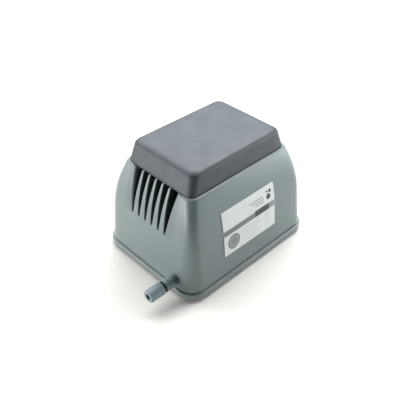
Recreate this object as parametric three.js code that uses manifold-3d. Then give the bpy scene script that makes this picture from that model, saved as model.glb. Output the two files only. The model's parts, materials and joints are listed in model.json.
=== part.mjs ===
// Linear diaphragm air pump for ponds and aquariums, in millimetres, +Z up.
// A tapered housing stands on a base tray with rubber feet. A lift-off cover hides the foam air filter.
// Inside, two electromagnets drive a rod with two magnets to and fro along X. The rod works a rubber
// diaphragm at each end, and flap valves in the heads push the air into a tank and out of the nozzle.
//
// Pieces are laid out round the middle of the base tray: -X is the outlet and louvre end, +X the cable end,
// -Y the label side, and heights start at the tray's underside. The exported group then moves them so that
// the origin is the middle of the whole footprint, at the floor.
import * as THREE from "three";
import { mergeVertices } from "three/addons/utils/BufferGeometryUtils.js";
import Module from "manifold-3d";

const wasm = await Module();
wasm.setup();

// ---- Driving dimensions ----
const GAP = 0.3; // between pieces that touch
const WALL = 3;

// Housing: a draft angle up to the shoulder, then an arc that leans in to the top.
const HOUSING_LENGTH = 233;
const HOUSING_WIDTH = 182.5;
const HOUSING_TOP = 140.5;
const DRAFT = THREE.MathUtils.degToRad(5.5);
const SHOULDER_HEIGHT = 70;
const SHOULDER_RADIUS = 222;
const CORNER_RADIUS_LOW = 24;
const CORNER_RADIUS_HIGH = 12;
const TOP_EDGE_RADIUS = 3;
const CAVITY_TOP = 114;
const BEYOND = 130; // further out than the housing's ends, for cuts that run out through a wall
const BOSS_RADIUS = 5.5;
const BOSS_TOP = 35;
const BOSS_WEB = [14, 3, 22]; // joins each screw boss to the corner of the housing
const SCREW_RADIUS = 1.8;
const SCREW_TIP = 28;

// Base tray: a rim that stands a little proud of the housing.
const RIM_LENGTH = 237;
const RIM_WIDTH = 187;
const RIM_RADIUS = 26;
const RIM_TOP = 8;
const RIM_CHAMFER = 0.8;
const TRAY_FLOOR = 3;
const TONGUE_CLEARANCE = 1;
const TONGUE_WALL = 2;
const TONGUE_TOP = 12;
const HOUSING_BOTTOM = 9.5;
const FOOT_X = 98;
const FOOT_Y = 73;
const FOOT_HEIGHT = 4;

// Filter well, louvres and cover.
const WELL_LENGTH = 157;
const WELL_WIDTH = 105;
const WELL_RADIUS = 6;
const WELL_FLOOR = 117;
const WELL_PORTS_X = [-42, -14, 14, 42];
const WELL_PORT_LENGTH = 16;
const WELL_PORT_WIDTH = 60;
const FILTER_HEIGHT = 10.2;
const LOUVRE_COUNT = 6;
const LOUVRE_PITCH = 13;
const LOUVRE_WIDTH = 9.6;
const LOUVRE_RAMP = 5.5; // extra width of the outermost pair
const LOUVRE_TIP_HEIGHT = 78;
const LOUVRE_TIP_WIDTH = 3;
const LOUVRE_BACK_X = -86;
const LOUVRE_BLOCK = 47; // half width of the solid wall behind the louvres
const LOUVRE_FLOOR_TOP = 100; // the floor slopes in up to here, then stands upright
const WINDOW_WIDTH = 7;
const WINDOW_LOW = 119;
const WINDOW_HIGH = 138;
const COVER_LENGTH = 177.4;
const COVER_WIDTH = 125.6;
const COVER_TOP_LENGTH = 158.2;
const COVER_TOP_WIDTH = 115.8;
const COVER_TOP = 171;
const COVER_WALL = 2.5;
const COVER_EDGE_RADIUS = 5;
const TAB_X = 45;
const TAB_LENGTH = 16;
const TAB_DEPTH = 6; // below the housing's top
const TAB_RISE = 16; // above it, inside the cover

// Outlet and cable entry.
const OUTLET_Y = -58;
const OUTLET_Z = 22;
const OUTLET_TIP_X = -161;
const NOZZLE_RADIUS = 9;
const BORE_RADIUS = 4.3;
const OUTLET_HOLE_RADIUS = 7.3;
const GLAND_Y = 55;
const GLAND_Z = 24;
const GLAND_END_X = 129;
const GLAND_HOLE_RADIUS = 7;
const HOSE_RADIUS = 9.2;
const HOSE_BORE = 7.6;
const LEAD_RADIUS = 1.2;

// Label: its span in X each way, and in height.
const LABEL_LEFT = -52.5;
const LABEL_RIGHT = 47.5;
const LABEL_LOW = 39.5;
const LABEL_HIGH = 107.5;
const LABEL_THICKNESS = 0.5;

// Pump unit: its middle, the height of the rod and the stations along X, from that middle.
const UNIT_X = 5;
const ROD_Z = 79;
const END_PLATE_X = 38;
const CLAMP_RING_X = 41.3;
const DIAPHRAGM_X = 44;
const HEAD_X = 46.5;
const PARTITION_X = 60;
const HEAD_BACK_X = 76;
const CHAMBER_RADIUS = 25.5;
const CLAMP_RADIUS = 29.5;
const TANK_LENGTH = 156;
const TANK_WIDTH = 124;
const TANK_BOTTOM = 15.3;
const TANK_TOP = 38;
const LID_BOTTOM = 40.1;
const LID_TOP = 43.1;
const TANK_STUB_Y = -50;
const TANK_STUB_Z = 25.5;
const TANK_PORT_X = 68.5;
const TANK_PORT_Y = 18;
const TANK_WALL = 2.5;
const PORT_RADIUS = 4.5;
const MOUNT_X = 60;
const MOUNT_Y = 45;

// Magnet circuit: half spans from the unit's middle.
const CORE_HALF_LENGTH = 26;
const CORE_HALF_HEIGHT = 13;
const POLE_FACE_Y = 15;
const CORE_YOKE_Y = 41;
const CORE_BACK_Y = 52;
const MAGNET_X = 10.75;
const MAGNET_SIZE = [15, 24, 20];
const CARRIER_HALF_LENGTH = 24;
const ROD_RADIUS = 4;
const ROD_END_X = 54.5;

// Heads: half spans, and the flaps over their ports.
const HEAD_HALF_WIDTH = 36;
const HEAD_HALF_HEIGHT = 30;
const PARTITION = 3;
const VALVE_PORT_RADIUS = 5;
const VALVE_PORT_RISE = 12; // inlet above the rod, outlet as far below it
const FLAP_RADIUS = 7.5;
const FLAP_THICKNESS = 1.2;

// ---- Solids ----
function solidOf(geometry) {
  const bare = geometry.index ? geometry.toNonIndexed() : geometry.clone();
  for (const name of Object.keys(bare.attributes)) {
    if (name !== "position") bare.deleteAttribute(name);
  }
  const merged = mergeVertices(bare, 1e-4);
  return new wasm.Manifold(new wasm.Mesh({
    numProp: 3,
    vertProperties: new Float32Array(merged.attributes.position.array),
    triVerts: new Uint32Array(merged.index.array),
  }));
}

function geometryOf(solid) {
  const mesh = solid.getMesh();
  const geometry = new THREE.BufferGeometry();
  geometry.setAttribute("position", new THREE.BufferAttribute(new Float32Array(mesh.vertProperties), 3));
  geometry.setIndex(new THREE.BufferAttribute(new Uint32Array(mesh.triVerts), 1));
  return geometry;
}

const join = (first, ...others) => others.reduce((all, next) => all.add(next), first);
const cut = (first, ...others) => others.reduce((all, next) => all.subtract(next), first);

function box(x0, x1, y0, y1, z0, z1) {
  const geometry = new THREE.BoxGeometry(x1 - x0, y1 - y0, z1 - z0);
  return solidOf(geometry.translate((x0 + x1) / 2, (y0 + y1) / 2, (z0 + z1) / 2));
}

function cylinderZ(radius, x, y, z0, z1, sides = 16) {
  const geometry = new THREE.CylinderGeometry(radius, radius, z1 - z0, sides);
  return solidOf(geometry.rotateX(Math.PI / 2).translate(x, y, (z0 + z1) / 2));
}

function cylinderX(radius, x0, x1, y, z, sides = 20) {
  const geometry = new THREE.CylinderGeometry(radius, radius, x1 - x0, sides);
  return solidOf(geometry.rotateZ(-Math.PI / 2).translate((x0 + x1) / 2, y, z));
}

// A closed profile of [radius, position] points, turned about an axis. The profile runs round the section.
function lathe(profile, sides) {
  const area = profile.reduce((sum, [r, h], i) => {
    const [nextR, nextH] = profile[(i + 1) % profile.length];
    return sum + r * nextH - nextR * h;
  }, 0);
  const order = area > 0 ? profile : [...profile].reverse();
  const points = [...order, order[0]].map(([r, h]) => new THREE.Vector2(r, h));
  return new THREE.LatheGeometry(points, sides);
}

function turnedX(profile, y, z, sides = 24) {
  return solidOf(lathe(profile, sides).rotateZ(-Math.PI / 2).translate(0, y, z));
}

function turnedZ(profile, x, y, sides = 16) {
  return solidOf(lathe(profile, sides).rotateX(Math.PI / 2).translate(x, y, 0));
}

function roundedShape(length, width, radius) {
  const shape = new THREE.Shape();
  const x = length / 2 - radius;
  const y = width / 2 - radius;
  shape.absarc(x, y, radius, 0, Math.PI / 2);
  shape.absarc(-x, y, radius, Math.PI / 2, Math.PI);
  shape.absarc(-x, -y, radius, Math.PI, 1.5 * Math.PI);
  shape.absarc(x, -y, radius, 1.5 * Math.PI, 2 * Math.PI);
  shape.closePath();
  return shape;
}

function plate(length, width, radius, z0, z1, x = 0, curveSegments = 4) {
  const shape = roundedShape(length, width, radius);
  const geometry = new THREE.ExtrudeGeometry(shape, { depth: z1 - z0, bevelEnabled: false, curveSegments });
  return solidOf(geometry.translate(x, 0, z0));
}

// A shape drawn in Y and Z, extruded along X.
function prismX(points, x0, x1) {
  const shape = new THREE.Shape(points.map(([y, z]) => new THREE.Vector2(y, z)));
  const geometry = new THREE.ExtrudeGeometry(shape, { depth: x1 - x0, bevelEnabled: false });
  const turn = new THREE.Matrix4().set(0, 0, 1, x0, 1, 0, 0, 0, 0, 1, 0, 0, 0, 0, 0, 1);
  return solidOf(geometry.applyMatrix4(turn));
}

// Closed rings of [x, y, z] points stacked up in Z, running anticlockwise, are joined into one solid.
function skin(rings) {
  const count = rings[0].length;
  const at = (ring, i) => ring * count + i % count;
  const faces = [];
  for (let ring = 0; ring + 1 < rings.length; ring += 1) {
    for (let i = 0; i < count; i += 1) {
      faces.push(at(ring, i), at(ring, i + 1), at(ring + 1, i + 1));
      faces.push(at(ring, i), at(ring + 1, i + 1), at(ring + 1, i));
    }
  }
  const top = rings.length - 1;
  for (let i = 1; i + 1 < count; i += 1) {
    faces.push(at(0, 0), at(0, i + 1), at(0, i), at(top, 0), at(top, i), at(top, i + 1));
  }
  const geometry = new THREE.BufferGeometry();
  geometry.setAttribute("position", new THREE.Float32BufferAttribute(rings.flat(2), 3));
  geometry.setIndex(faces);
  return solidOf(geometry);
}

// Rounded rectangles stacked up in Z. Each section is { z, length, width, radius }.
function loft(sections, cornerSteps) {
  const quarters = [[1, 1], [-1, 1], [-1, -1], [1, -1]];
  return skin(sections.map(({ z, length, width, radius }) => quarters.flatMap(([sx, sy], quarter) => (
    Array.from({ length: cornerSteps + 1 }, (_, step) => {
      const angle = (quarter + step / cornerSteps) * Math.PI / 2;
      const x = sx * (length / 2 - radius) + radius * Math.cos(angle);
      const y = sy * (width / 2 - radius) + radius * Math.sin(angle);
      return [x, y, z];
    })
  ))));
}

// A round tube along a curve, solid or hollow.
function tubeAlong(points, radius, bore, steps, sides) {
  const extrudePath = new THREE.CatmullRomCurve3(points.map((p) => new THREE.Vector3(...p)));
  const round = (r) => new THREE.Shape(Array.from({ length: sides }, (_, i) => {
    const angle = 2 * Math.PI * i / sides;
    return new THREE.Vector2(r * Math.cos(angle), r * Math.sin(angle));
  }));
  const shape = round(radius);
  if (bore) shape.holes.push(new THREE.Path(round(bore).getPoints()));
  return solidOf(new THREE.ExtrudeGeometry(shape, { steps, extrudePath }));
}

// ---- Housing outline ----
// How far the wall has leaned in at a height above the tray's underside.
function inset(z) {
  if (z <= SHOULDER_HEIGHT) return z * Math.tan(DRAFT);
  const sine = Math.sin(DRAFT) + (z - SHOULDER_HEIGHT) / SHOULDER_RADIUS;
  const lean = SHOULDER_RADIUS * (Math.cos(DRAFT) - Math.sqrt(1 - sine * sine));
  return SHOULDER_HEIGHT * Math.tan(DRAFT) + lean;
}

function housingSection(z, inward) {
  const share = z / HOUSING_TOP;
  const radius = THREE.MathUtils.lerp(CORNER_RADIUS_LOW, CORNER_RADIUS_HIGH, share);
  return {
    z,
    length: HOUSING_LENGTH - 2 * (inset(z) + inward),
    width: HOUSING_WIDTH - 2 * (inset(z) + inward),
    radius: Math.max(radius - inward, 4),
  };
}

// Section heights: two on the straight draft, then closer together round the shoulder.
function housingHeights(low, high) {
  const shoulder = Array.from({ length: 7 }, (_, i) => SHOULDER_HEIGHT + 10 * i);
  return [low, ...shoulder.filter((z) => z < high - 2), high];
}

// A louvre is a pocket that narrows down to its tip, where its floor meets the surface. The outermost pair
// also have a 45 degree ramp on their outer side.
function louvre(middle, rampSide) {
  const above = HOUSING_TOP + 1;
  const surfaceX = (z) => inset(z) - HOUSING_LENGTH / 2;
  const heights = [LOUVRE_TIP_HEIGHT, 85, 93, LOUVRE_FLOOR_TOP, 115, 130, above];
  return skin(heights.map((z) => {
    const share = (z - LOUVRE_TIP_HEIGHT) / (above - LOUVRE_TIP_HEIGHT);
    const slope = Math.min(1, (z - LOUVRE_TIP_HEIGHT) / (LOUVRE_FLOOR_TOP - LOUVRE_TIP_HEIGHT));
    const half = THREE.MathUtils.lerp(LOUVRE_TIP_WIDTH, LOUVRE_WIDTH, share) / 2;
    const ramp = rampSide ? 0.2 + LOUVRE_RAMP * share : 0;
    const surface = surfaceX(z);
    const floor = THREE.MathUtils.lerp(surfaceX(LOUVRE_TIP_HEIGHT) + 0.5, LOUVRE_BACK_X, slope);
    const outside = surface - 2;
    const pocket = [[outside, -half], [floor, -half], [floor, half]];
    const edge = ramp ? [[surface + Math.min(ramp, floor - surface - 0.1), half], [outside, half + ramp + 2]]
      : [[outside, half]];
    const points = [...pocket, ...edge];
    const turned = rampSide < 0 ? [points[0], ...points.slice(1).reverse()].map(([x, y]) => [x, -y]) : points;
    return turned.map(([x, y]) => [x, middle + y, z]);
  }));
}

function louvreMiddles() {
  return Array.from({ length: LOUVRE_COUNT }, (_, i) => (i - (LOUVRE_COUNT - 1) / 2) * LOUVRE_PITCH);
}

const corners = [[-1, -1], [1, -1], [-1, 1], [1, 1]];

function upperHousing() {
  const edgeStart = HOUSING_TOP - TOP_EDGE_RADIUS;
  const skin = housingHeights(HOUSING_BOTTOM, edgeStart).map((z) => housingSection(z, 0));
  skin.push(housingSection(HOUSING_TOP - 0.7, 1.1), housingSection(HOUSING_TOP, 2.8));
  const cavity = housingHeights(HOUSING_BOTTOM - 1, CAVITY_TOP).map((z) => housingSection(z, WALL));
  const blockBottom = LOUVRE_TIP_HEIGHT - 5;
  const blockX = LOUVRE_BACK_X + WALL;
  const louvreBlock = box(-BEYOND, blockX, -LOUVRE_BLOCK, LOUVRE_BLOCK, blockBottom, CAVITY_TOP + 1);
  let housing = cut(loft(skin, 5), cut(loft(cavity, 5), louvreBlock));
  housing = cut(housing, plate(WELL_LENGTH, WELL_WIDTH, WELL_RADIUS, WELL_FLOOR, HOUSING_TOP + 5));

  const middles = louvreMiddles();
  const outermost = Math.max(...middles);
  for (const middle of middles) {
    const rampSide = Math.abs(middle) < outermost ? 0 : Math.sign(middle);
    const [left, right] = [middle - WINDOW_WIDTH / 2, middle + WINDOW_WIDTH / 2];
    const window = box(LOUVRE_BACK_X - 1, 2.5 - WELL_LENGTH / 2, left, right, WINDOW_LOW, WINDOW_HIGH);
    housing = cut(housing, louvre(middle, rampSide), window);
  }
  const [portX, portY] = [WELL_PORT_LENGTH / 2, WELL_PORT_WIDTH / 2];
  for (const x of WELL_PORTS_X) {
    housing = cut(housing, box(x - portX, x + portX, -portY, portY, CAVITY_TOP - 2, WELL_FLOOR + 1));
  }
  for (const [sx, sy] of corners) {
    const x = sx * FOOT_X;
    const y = sy * FOOT_Y;
    const web = new THREE.BoxGeometry(...BOSS_WEB).rotateZ(Math.atan2(sy, sx));
    web.translate(x + sx * BOSS_RADIUS, y + sy * BOSS_RADIUS, BOSS_TOP - BOSS_WEB[2] / 2);
    const boss = join(cylinderZ(BOSS_RADIUS, x, y, RIM_TOP + GAP + 1, BOSS_TOP), solidOf(web));
    housing = cut(join(housing, boss), cylinderZ(SCREW_RADIUS + GAP, x, y, 0, SCREW_TIP + 3, 12));
  }
  // The web ends are trimmed to the outside of the housing, then the wall holes are cut.
  housing = housing.intersect(loft(skin, 5));
  const outletHole = cylinderX(OUTLET_HOLE_RADIUS, -BEYOND, 30 - BEYOND, OUTLET_Y, OUTLET_Z, 20);
  const glandHole = cylinderX(GLAND_HOLE_RADIUS, BEYOND - 30, BEYOND, GLAND_Y, GLAND_Z, 16);
  return cut(housing, outletHole, glandHole);
}

function baseTray() {
  const section = (z, inward) => ({
    z, length: RIM_LENGTH - 2 * inward, width: RIM_WIDTH - 2 * inward, radius: RIM_RADIUS - inward,
  });
  const outside = [section(0, RIM_CHAMFER), section(RIM_CHAMFER, 0), section(RIM_TOP - RIM_CHAMFER, 0),
    section(RIM_TOP, RIM_CHAMFER)];
  const { length, width, radius } = housingSection(HOUSING_BOTTOM, WALL + TONGUE_CLEARANCE);
  const tongue = plate(length, width, radius, RIM_TOP - 1, TONGUE_TOP);
  const hollow = plate(
    length - 2 * TONGUE_WALL,
    width - 2 * TONGUE_WALL,
    radius - TONGUE_WALL,
    TRAY_FLOOR,
    TONGUE_TOP + 1,
  );
  let tray = cut(join(loft(outside, 5), tongue), hollow);
  for (const [sx, sy] of corners) {
    const x = sx * FOOT_X;
    const y = sy * FOOT_Y;
    const post = cylinderZ(BOSS_RADIUS, x, y, TRAY_FLOOR - 1, RIM_TOP + 1);
    tray = cut(join(tray, post), cylinderZ(SCREW_RADIUS + 2 * GAP, x, y, -1, TONGUE_TOP, 12));
  }
  return tray;
}

function housingGasket() {
  const section = (inward) => housingSection(HOUSING_BOTTOM, inward);
  const { length, width, radius } = section(0.5);
  const inner = section(WALL - 0.2);
  return cut(
    plate(length, width, radius, RIM_TOP + GAP, HOUSING_BOTTOM - GAP),
    plate(inner.length, inner.width, inner.radius, RIM_TOP - 1, HOUSING_BOTTOM + 1),
  );
}

function filterCover() {
  const bottom = HOUSING_TOP + GAP;
  const section = (z, inward, radius) => {
    const share = (z - bottom) / (COVER_TOP - bottom);
    return {
      z,
      length: THREE.MathUtils.lerp(COVER_LENGTH, COVER_TOP_LENGTH, share) - 2 * inward,
      width: THREE.MathUtils.lerp(COVER_WIDTH, COVER_TOP_WIDTH, share) - 2 * inward,
      radius,
    };
  };
  const edge = COVER_EDGE_RADIUS;
  const outside = [section(bottom, 0, 10), section(COVER_TOP - edge, 0, 9)];
  for (const turn of [30, 60, 90]) {
    const angle = THREE.MathUtils.degToRad(turn);
    outside.push(section(COVER_TOP - edge * (1 - Math.sin(angle)), edge * (1 - Math.cos(angle)), 8));
  }
  const inside = [section(bottom - 1, COVER_WALL, 8), section(COVER_TOP - COVER_WALL, COVER_WALL + 1.5, 6)];
  let cover = cut(loft(outside, 4), loft(inside, 4));
  // Two tabs a side locate the cover in the filter well.
  for (const [sx, sy] of corners) {
    const [x, y] = [sx * TAB_X, sy * (WELL_WIDTH / 2 - 1.6)];
    const [half, top] = [TAB_LENGTH / 2, HOUSING_TOP + TAB_RISE];
    const tab = box(x - half, x + half, y - 1, y + 1, HOUSING_TOP - TAB_DEPTH, top);
    const wallY = sy * (COVER_WIDTH / 2 - 3.2);
    const bridge = box(x - 1, x + 1, Math.min(y, wallY), Math.max(y, wallY), HOUSING_TOP + 1, top);
    cover = join(cover, tab, bridge);
  }
  return cover;
}

function airFilter() {
  return plate(WELL_LENGTH - 5, WELL_WIDTH - 10, 5, WELL_FLOOR + GAP, WELL_FLOOR + GAP + FILTER_HEIGHT);
}

// The label follows the lean of the housing's side.
function ratingLabel() {
  const face = (z, out) => [-(HOUSING_WIDTH / 2 - inset(z)) - out, z];
  const heights = [LABEL_LOW, SHOULDER_HEIGHT, 79, 88, 97, LABEL_HIGH];
  const front = heights.map((z) => face(z, GAP + LABEL_THICKNESS));
  const back = heights.map((z) => face(z, GAP)).reverse();
  return prismX([...front, ...back].reverse(), LABEL_LEFT, LABEL_RIGHT);
}

// ---- Outlet and cable entry ----
function outletNozzle() {
  const r = NOZZLE_RADIUS;
  const tail = [[r - 1.2, OUTLET_TIP_X], [r, OUTLET_TIP_X + 1.6], [r, -138.8], [6.6, -138.8]];
  const collar = [[6.6, -135.2], [8.4, -135.2], [8.4, -129], [6, -129]];
  const spigot = [[6, -106.4], [7, -106.4], [7, -98], [BORE_RADIUS, -98], [BORE_RADIUS, OUTLET_TIP_X]];
  return turnedX([...tail, ...collar, ...spigot], OUTLET_Y, OUTLET_Z);
}

function outletLockRing() {
  return turnedX([[6.3, -128.7], [7.8, -128.7], [8.2, -128.1], [8.2, -121.5], [6.3, -121.5]],
    OUTLET_Y, OUTLET_Z, 24);
}

function outletGrommet() {
  return turnedX([[6.3, -121.2], [7, -121.2], [7, -109.8], [9.5, -109.8], [9.5, -106.8], [6.3, -106.8]],
    OUTLET_Y, OUTLET_Z);
}

function outletHose() {
  const tank = UNIT_X - TANK_LENGTH / 2;
  const nozzleRun = [-106, -102, -98].map((x) => [x, OUTLET_Y, OUTLET_Z]);
  const middle = [(tank - 106) / 2, (OUTLET_Y + TANK_STUB_Y) / 2, (OUTLET_Z + TANK_STUB_Z) / 2];
  const tankRun = [tank - 9, tank - 5, tank - 1].map((x) => [x, TANK_STUB_Y, TANK_STUB_Z]);
  return tubeAlong([...nozzleRun, middle, ...tankRun], HOSE_RADIUS, HOSE_BORE, 14, 12);
}

function cableGland() {
  return turnedX([[3.5, 104.5], [9, 104.5], [9, 109.6], [6.6, 109.6], [6.6, 116.3], [10, 116.3], [10, 119],
    [7, 121], [5.2, GLAND_END_X], [3.5, GLAND_END_X]], GLAND_Y, GLAND_Z, 16);
}

function terminalBlock() {
  let block = box(90, 103, GLAND_Y - 45, GLAND_Y - 13, TRAY_FLOOR + GAP, 22);
  for (const y of [GLAND_Y - 37, GLAND_Y - 29, GLAND_Y - 21]) {
    block = cut(block, cylinderZ(2.4, 93.5, y, 15, 24, 10), cylinderZ(2.4, 99.5, y, 15, 24, 10));
  }
  return block;
}

function coilLead(side) {
  const [x, y] = [93.5, GLAND_Y - 29 + side * 8];
  const path = [[x, y, 22.4], [x, y, 29], [88, side * 40, 44], [86, side * 58, 60],
    [52, side * 64, 88], [UNIT_X + 12, side * 58, 98], [UNIT_X + 6, side * 46, 99],
    [UNIT_X + 6, side * 41, 99]];
  return tubeAlong(path, LEAD_RADIUS, 0, 24, 6);
}

// ---- Feet, screws and mounts ----
function rubberFoot(sx, sy) {
  const profile = [[4.6, -FOOT_HEIGHT], [10.5, -FOOT_HEIGHT], [11.3, 0.8 - FOOT_HEIGHT], [12, -GAP],
    [4.6, -GAP]];
  return turnedZ(profile, sx * FOOT_X, sy * FOOT_Y, 20);
}

function housingScrew(sx, sy) {
  const head = cylinderZ(4, sx * FOOT_X, sy * FOOT_Y, -2.8, -GAP, 16);
  const slotA = box(sx * FOOT_X - 2.4, sx * FOOT_X + 2.4, sy * FOOT_Y - 0.5, sy * FOOT_Y + 0.5, -4, -1.6);
  const slotB = box(sx * FOOT_X - 0.5, sx * FOOT_X + 0.5, sy * FOOT_Y - 2.4, sy * FOOT_Y + 2.4, -4, -1.6);
  return cut(join(head, cylinderZ(SCREW_RADIUS, sx * FOOT_X, sy * FOOT_Y, -1, SCREW_TIP, 12)), slotA, slotB);
}

function vibrationMount(sx, sy) {
  const [low, high] = [TRAY_FLOOR + GAP, TANK_BOTTOM - GAP];
  const middle = (low + high) / 2;
  const profile = [[0, low], [8, low], [8, low + 2.5], [6, middle], [8, high - 2.5], [8, high], [0, high]];
  return solidOf(new THREE.LatheGeometry(profile.map(([r, h]) => new THREE.Vector2(r, h)), 14)
    .rotateX(Math.PI / 2).translate(UNIT_X + sx * MOUNT_X, sy * MOUNT_Y, 0));
}

// ---- Tank ----
function airTank() {
  const outside = plate(TANK_LENGTH, TANK_WIDTH, 8, TANK_BOTTOM, TANK_TOP, UNIT_X);
  const [length, width] = [TANK_LENGTH - 2 * TANK_WALL, TANK_WIDTH - 2 * TANK_WALL];
  const inside = plate(length, width, 6, TANK_BOTTOM + TANK_WALL, TANK_TOP + 1, UNIT_X);
  const end = UNIT_X - TANK_LENGTH / 2;
  const stub = cylinderX(6.9, end - 8, end + 1, TANK_STUB_Y, TANK_STUB_Z);
  const bore = cylinderX(PORT_RADIUS, end - 9, end + 5, TANK_STUB_Y, TANK_STUB_Z, 16);
  return cut(join(cut(outside, inside), stub), bore);
}

function tankGasket() {
  return cut(
    plate(TANK_LENGTH, TANK_WIDTH, 8, TANK_TOP + GAP, LID_BOTTOM - GAP, UNIT_X),
    plate(TANK_LENGTH - 8, TANK_WIDTH - 8, 5, TANK_TOP - 1, LID_BOTTOM + 1, UNIT_X),
  );
}

function tankLid() {
  let lid = plate(TANK_LENGTH, TANK_WIDTH, 8, LID_BOTTOM, LID_TOP, UNIT_X);
  for (const side of [-1, 1]) {
    const x = UNIT_X + side * TANK_PORT_X;
    lid = cut(lid, cylinderZ(PORT_RADIUS, x, TANK_PORT_Y, LID_BOTTOM - 1, LID_TOP + 2));
  }
  return lid;
}

function headBush(side) {
  const [low, high] = [LID_TOP + GAP, ROD_Z - HEAD_HALF_HEIGHT - GAP];
  const profile = [[PORT_RADIUS, low], [8, low], [7, (low + high) / 2], [8, high], [PORT_RADIUS, high]];
  return turnedZ(profile, UNIT_X + side * TANK_PORT_X, TANK_PORT_Y);
}

// ---- Electromagnets ----
function statorFrame() {
  const floor = LID_TOP + GAP;
  let frame = plate(2 * (END_PLATE_X + 3), 108, 4, floor, floor + 3, UNIT_X);
  for (const side of [-1, 1]) {
    const face = UNIT_X + side * (END_PLATE_X + 1.5);
    const top = ROD_Z + HEAD_HALF_HEIGHT;
    const endPlate = box(face - 1.5, face + 1.5, -HEAD_HALF_WIDTH, HEAD_HALF_WIDTH, floor + 1, top);
    frame = join(frame, cut(endPlate, cylinderX(CHAMBER_RADIUS, face - 5, face + 5, 0, ROD_Z, 24)));
    const pedestal = side > 0 ? [CORE_YOKE_Y + 1, CORE_BACK_Y] : [-CORE_BACK_Y, -CORE_YOKE_Y - 1];
    const coreBottom = ROD_Z - CORE_HALF_HEIGHT;
    frame = join(frame, box(UNIT_X - 24, UNIT_X + 24, ...pedestal, floor + 1, coreBottom - GAP));
  }
  return frame;
}

function statorCore(side) {
  const [end, pole, yoke, back] = [CORE_HALF_LENGTH, POLE_FACE_Y, CORE_YOKE_Y, CORE_BACK_Y];
  const outline = [[-end, back], [-end, pole], [-17, pole], [-17, yoke], [-4.5, yoke], [-4.5, pole],
    [4.5, pole], [4.5, yoke], [17, yoke], [17, pole], [end, pole], [end, back]];
  const shape = new THREE.Shape(outline.map(([x, y]) => new THREE.Vector2(x, side * y)));
  const geometry = new THREE.ExtrudeGeometry(shape, { depth: 2 * CORE_HALF_HEIGHT, bevelEnabled: false });
  return solidOf(geometry.translate(UNIT_X, 0, ROD_Z - CORE_HALF_HEIGHT));
}

// Rings round the middle leg: flanged bobbin, and the winding on it. Sizes are half spans in X and Z.
function legRing(side, y0, y1, inX, inZ, outX, outZ) {
  const [low, high] = side > 0 ? [y0, y1] : [-y1, -y0];
  const outer = box(UNIT_X - outX, UNIT_X + outX, low, high, ROD_Z - outZ, ROD_Z + outZ);
  return cut(outer, box(UNIT_X - inX, UNIT_X + inX, low - 1, high + 1, ROD_Z - inZ, ROD_Z + inZ));
}

function coilBobbin(side) {
  return join(
    legRing(side, 19, 40.5, 4.8, 13.3, 6.3, 14.8),
    legRing(side, 19, 20.5, 4.8, 13.3, 16, 25),
    legRing(side, 39, 40.5, 4.8, 13.3, 16, 25),
  );
}

function coilWinding(side) {
  const [low, high] = side > 0 ? [20.8, 38.7] : [-38.7, -20.8];
  const shape = roundedShape(30, 48, 5);
  const settings = { depth: high - low, bevelEnabled: false, curveSegments: 3 };
  const geometry = new THREE.ExtrudeGeometry(shape, settings);
  const winding = solidOf(geometry.rotateX(Math.PI / 2).translate(UNIT_X, high, ROD_Z));
  return cut(winding, box(UNIT_X - 6.6, UNIT_X + 6.6, low - 1, high + 1, ROD_Z - 15.1, ROD_Z + 15.1));
}

// ---- Armature ----
function driveRod() {
  const [near, far] = [UNIT_X - CARRIER_HALF_LENGTH, UNIT_X + CARRIER_HALF_LENGTH];
  const [, width] = MAGNET_SIZE;
  let rod = join(
    box(near, far, -width / 2, width / 2, ROD_Z - CORE_HALF_HEIGHT, ROD_Z + CORE_HALF_HEIGHT),
    cylinderX(ROD_RADIUS, UNIT_X - ROD_END_X, UNIT_X + ROD_END_X, 0, ROD_Z, 16),
  );
  for (const side of [-1, 1]) rod = cut(rod, magnetBlock(side, GAP, 3));
  return rod;
}

// The magnet's block, or the window that it sits in, which is a gap larger all round and runs through in Y.
function magnetBlock(side, gap = 0, beyond = 0) {
  const [x, y, z] = MAGNET_SIZE.map((size) => size / 2);
  const middle = UNIT_X + side * MAGNET_X;
  return box(middle - x - gap, middle + x + gap, -y - beyond, y + beyond, ROD_Z - z - gap, ROD_Z + z + gap);
}

// Turned pieces at one end of the rod: positions are distances from the unit's middle.
function endPiece(side, profile, sides = 24) {
  return turnedX(profile.map(([r, x]) => [r, UNIT_X + side * x]), 0, ROD_Z, sides);
}

const innerPlate = (side) => endPiece(side, [[4.3, 38.2], [17, 38.2], [18, 39.2], [18, 40.9], [4.3, 40.9]]);
const outerPlate = (side) => endPiece(side, [[4.3, 43.1], [18, 43.1], [18, 44.6], [17, 45.6], [4.3, 45.6]]);
const clampRing = (side) => endPiece(side, [[CHAMBER_RADIUS, CLAMP_RING_X], [CLAMP_RADIUS, CLAMP_RING_X],
  [CLAMP_RADIUS, 43.7], [CHAMBER_RADIUS, 43.7]]);

// Flat centre, one rolled fold and a clamped rim that stands further out.
function diaphragm(side) {
  const front = [[4.3, 42.8], [18.5, 42.8], [20.2, 43.8], [22, 45.6], [23.8, 46.2], [CLAMP_RADIUS, 46.2]];
  const back = [[CLAMP_RADIUS, DIAPHRAGM_X], [24.2, DIAPHRAGM_X], [22.6, 43.8], [21, 42], [19, 41.2],
    [4.3, 41.2]];
  return endPiece(side, [...front, ...back], 20);
}

function rodNut(side) {
  const [near, far] = [UNIT_X + side * 45.9, UNIT_X + side * 50.9];
  const hexagon = cylinderX(7.5, Math.min(near, far), Math.max(near, far), 0, ROD_Z, 6);
  return cut(hexagon, cylinderX(4.3, -90, 90, 0, ROD_Z, 16));
}

// ---- Heads ----
// Boxes given by distances from the unit's middle, on either side of it.
function headBlock(side, x0, x1, y0, y1, z0, z1) {
  const [near, far] = [UNIT_X + side * x0, UNIT_X + side * x1];
  return box(Math.min(near, far), Math.max(near, far), y0, y1, ROD_Z + z0, ROD_Z + z1);
}

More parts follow.
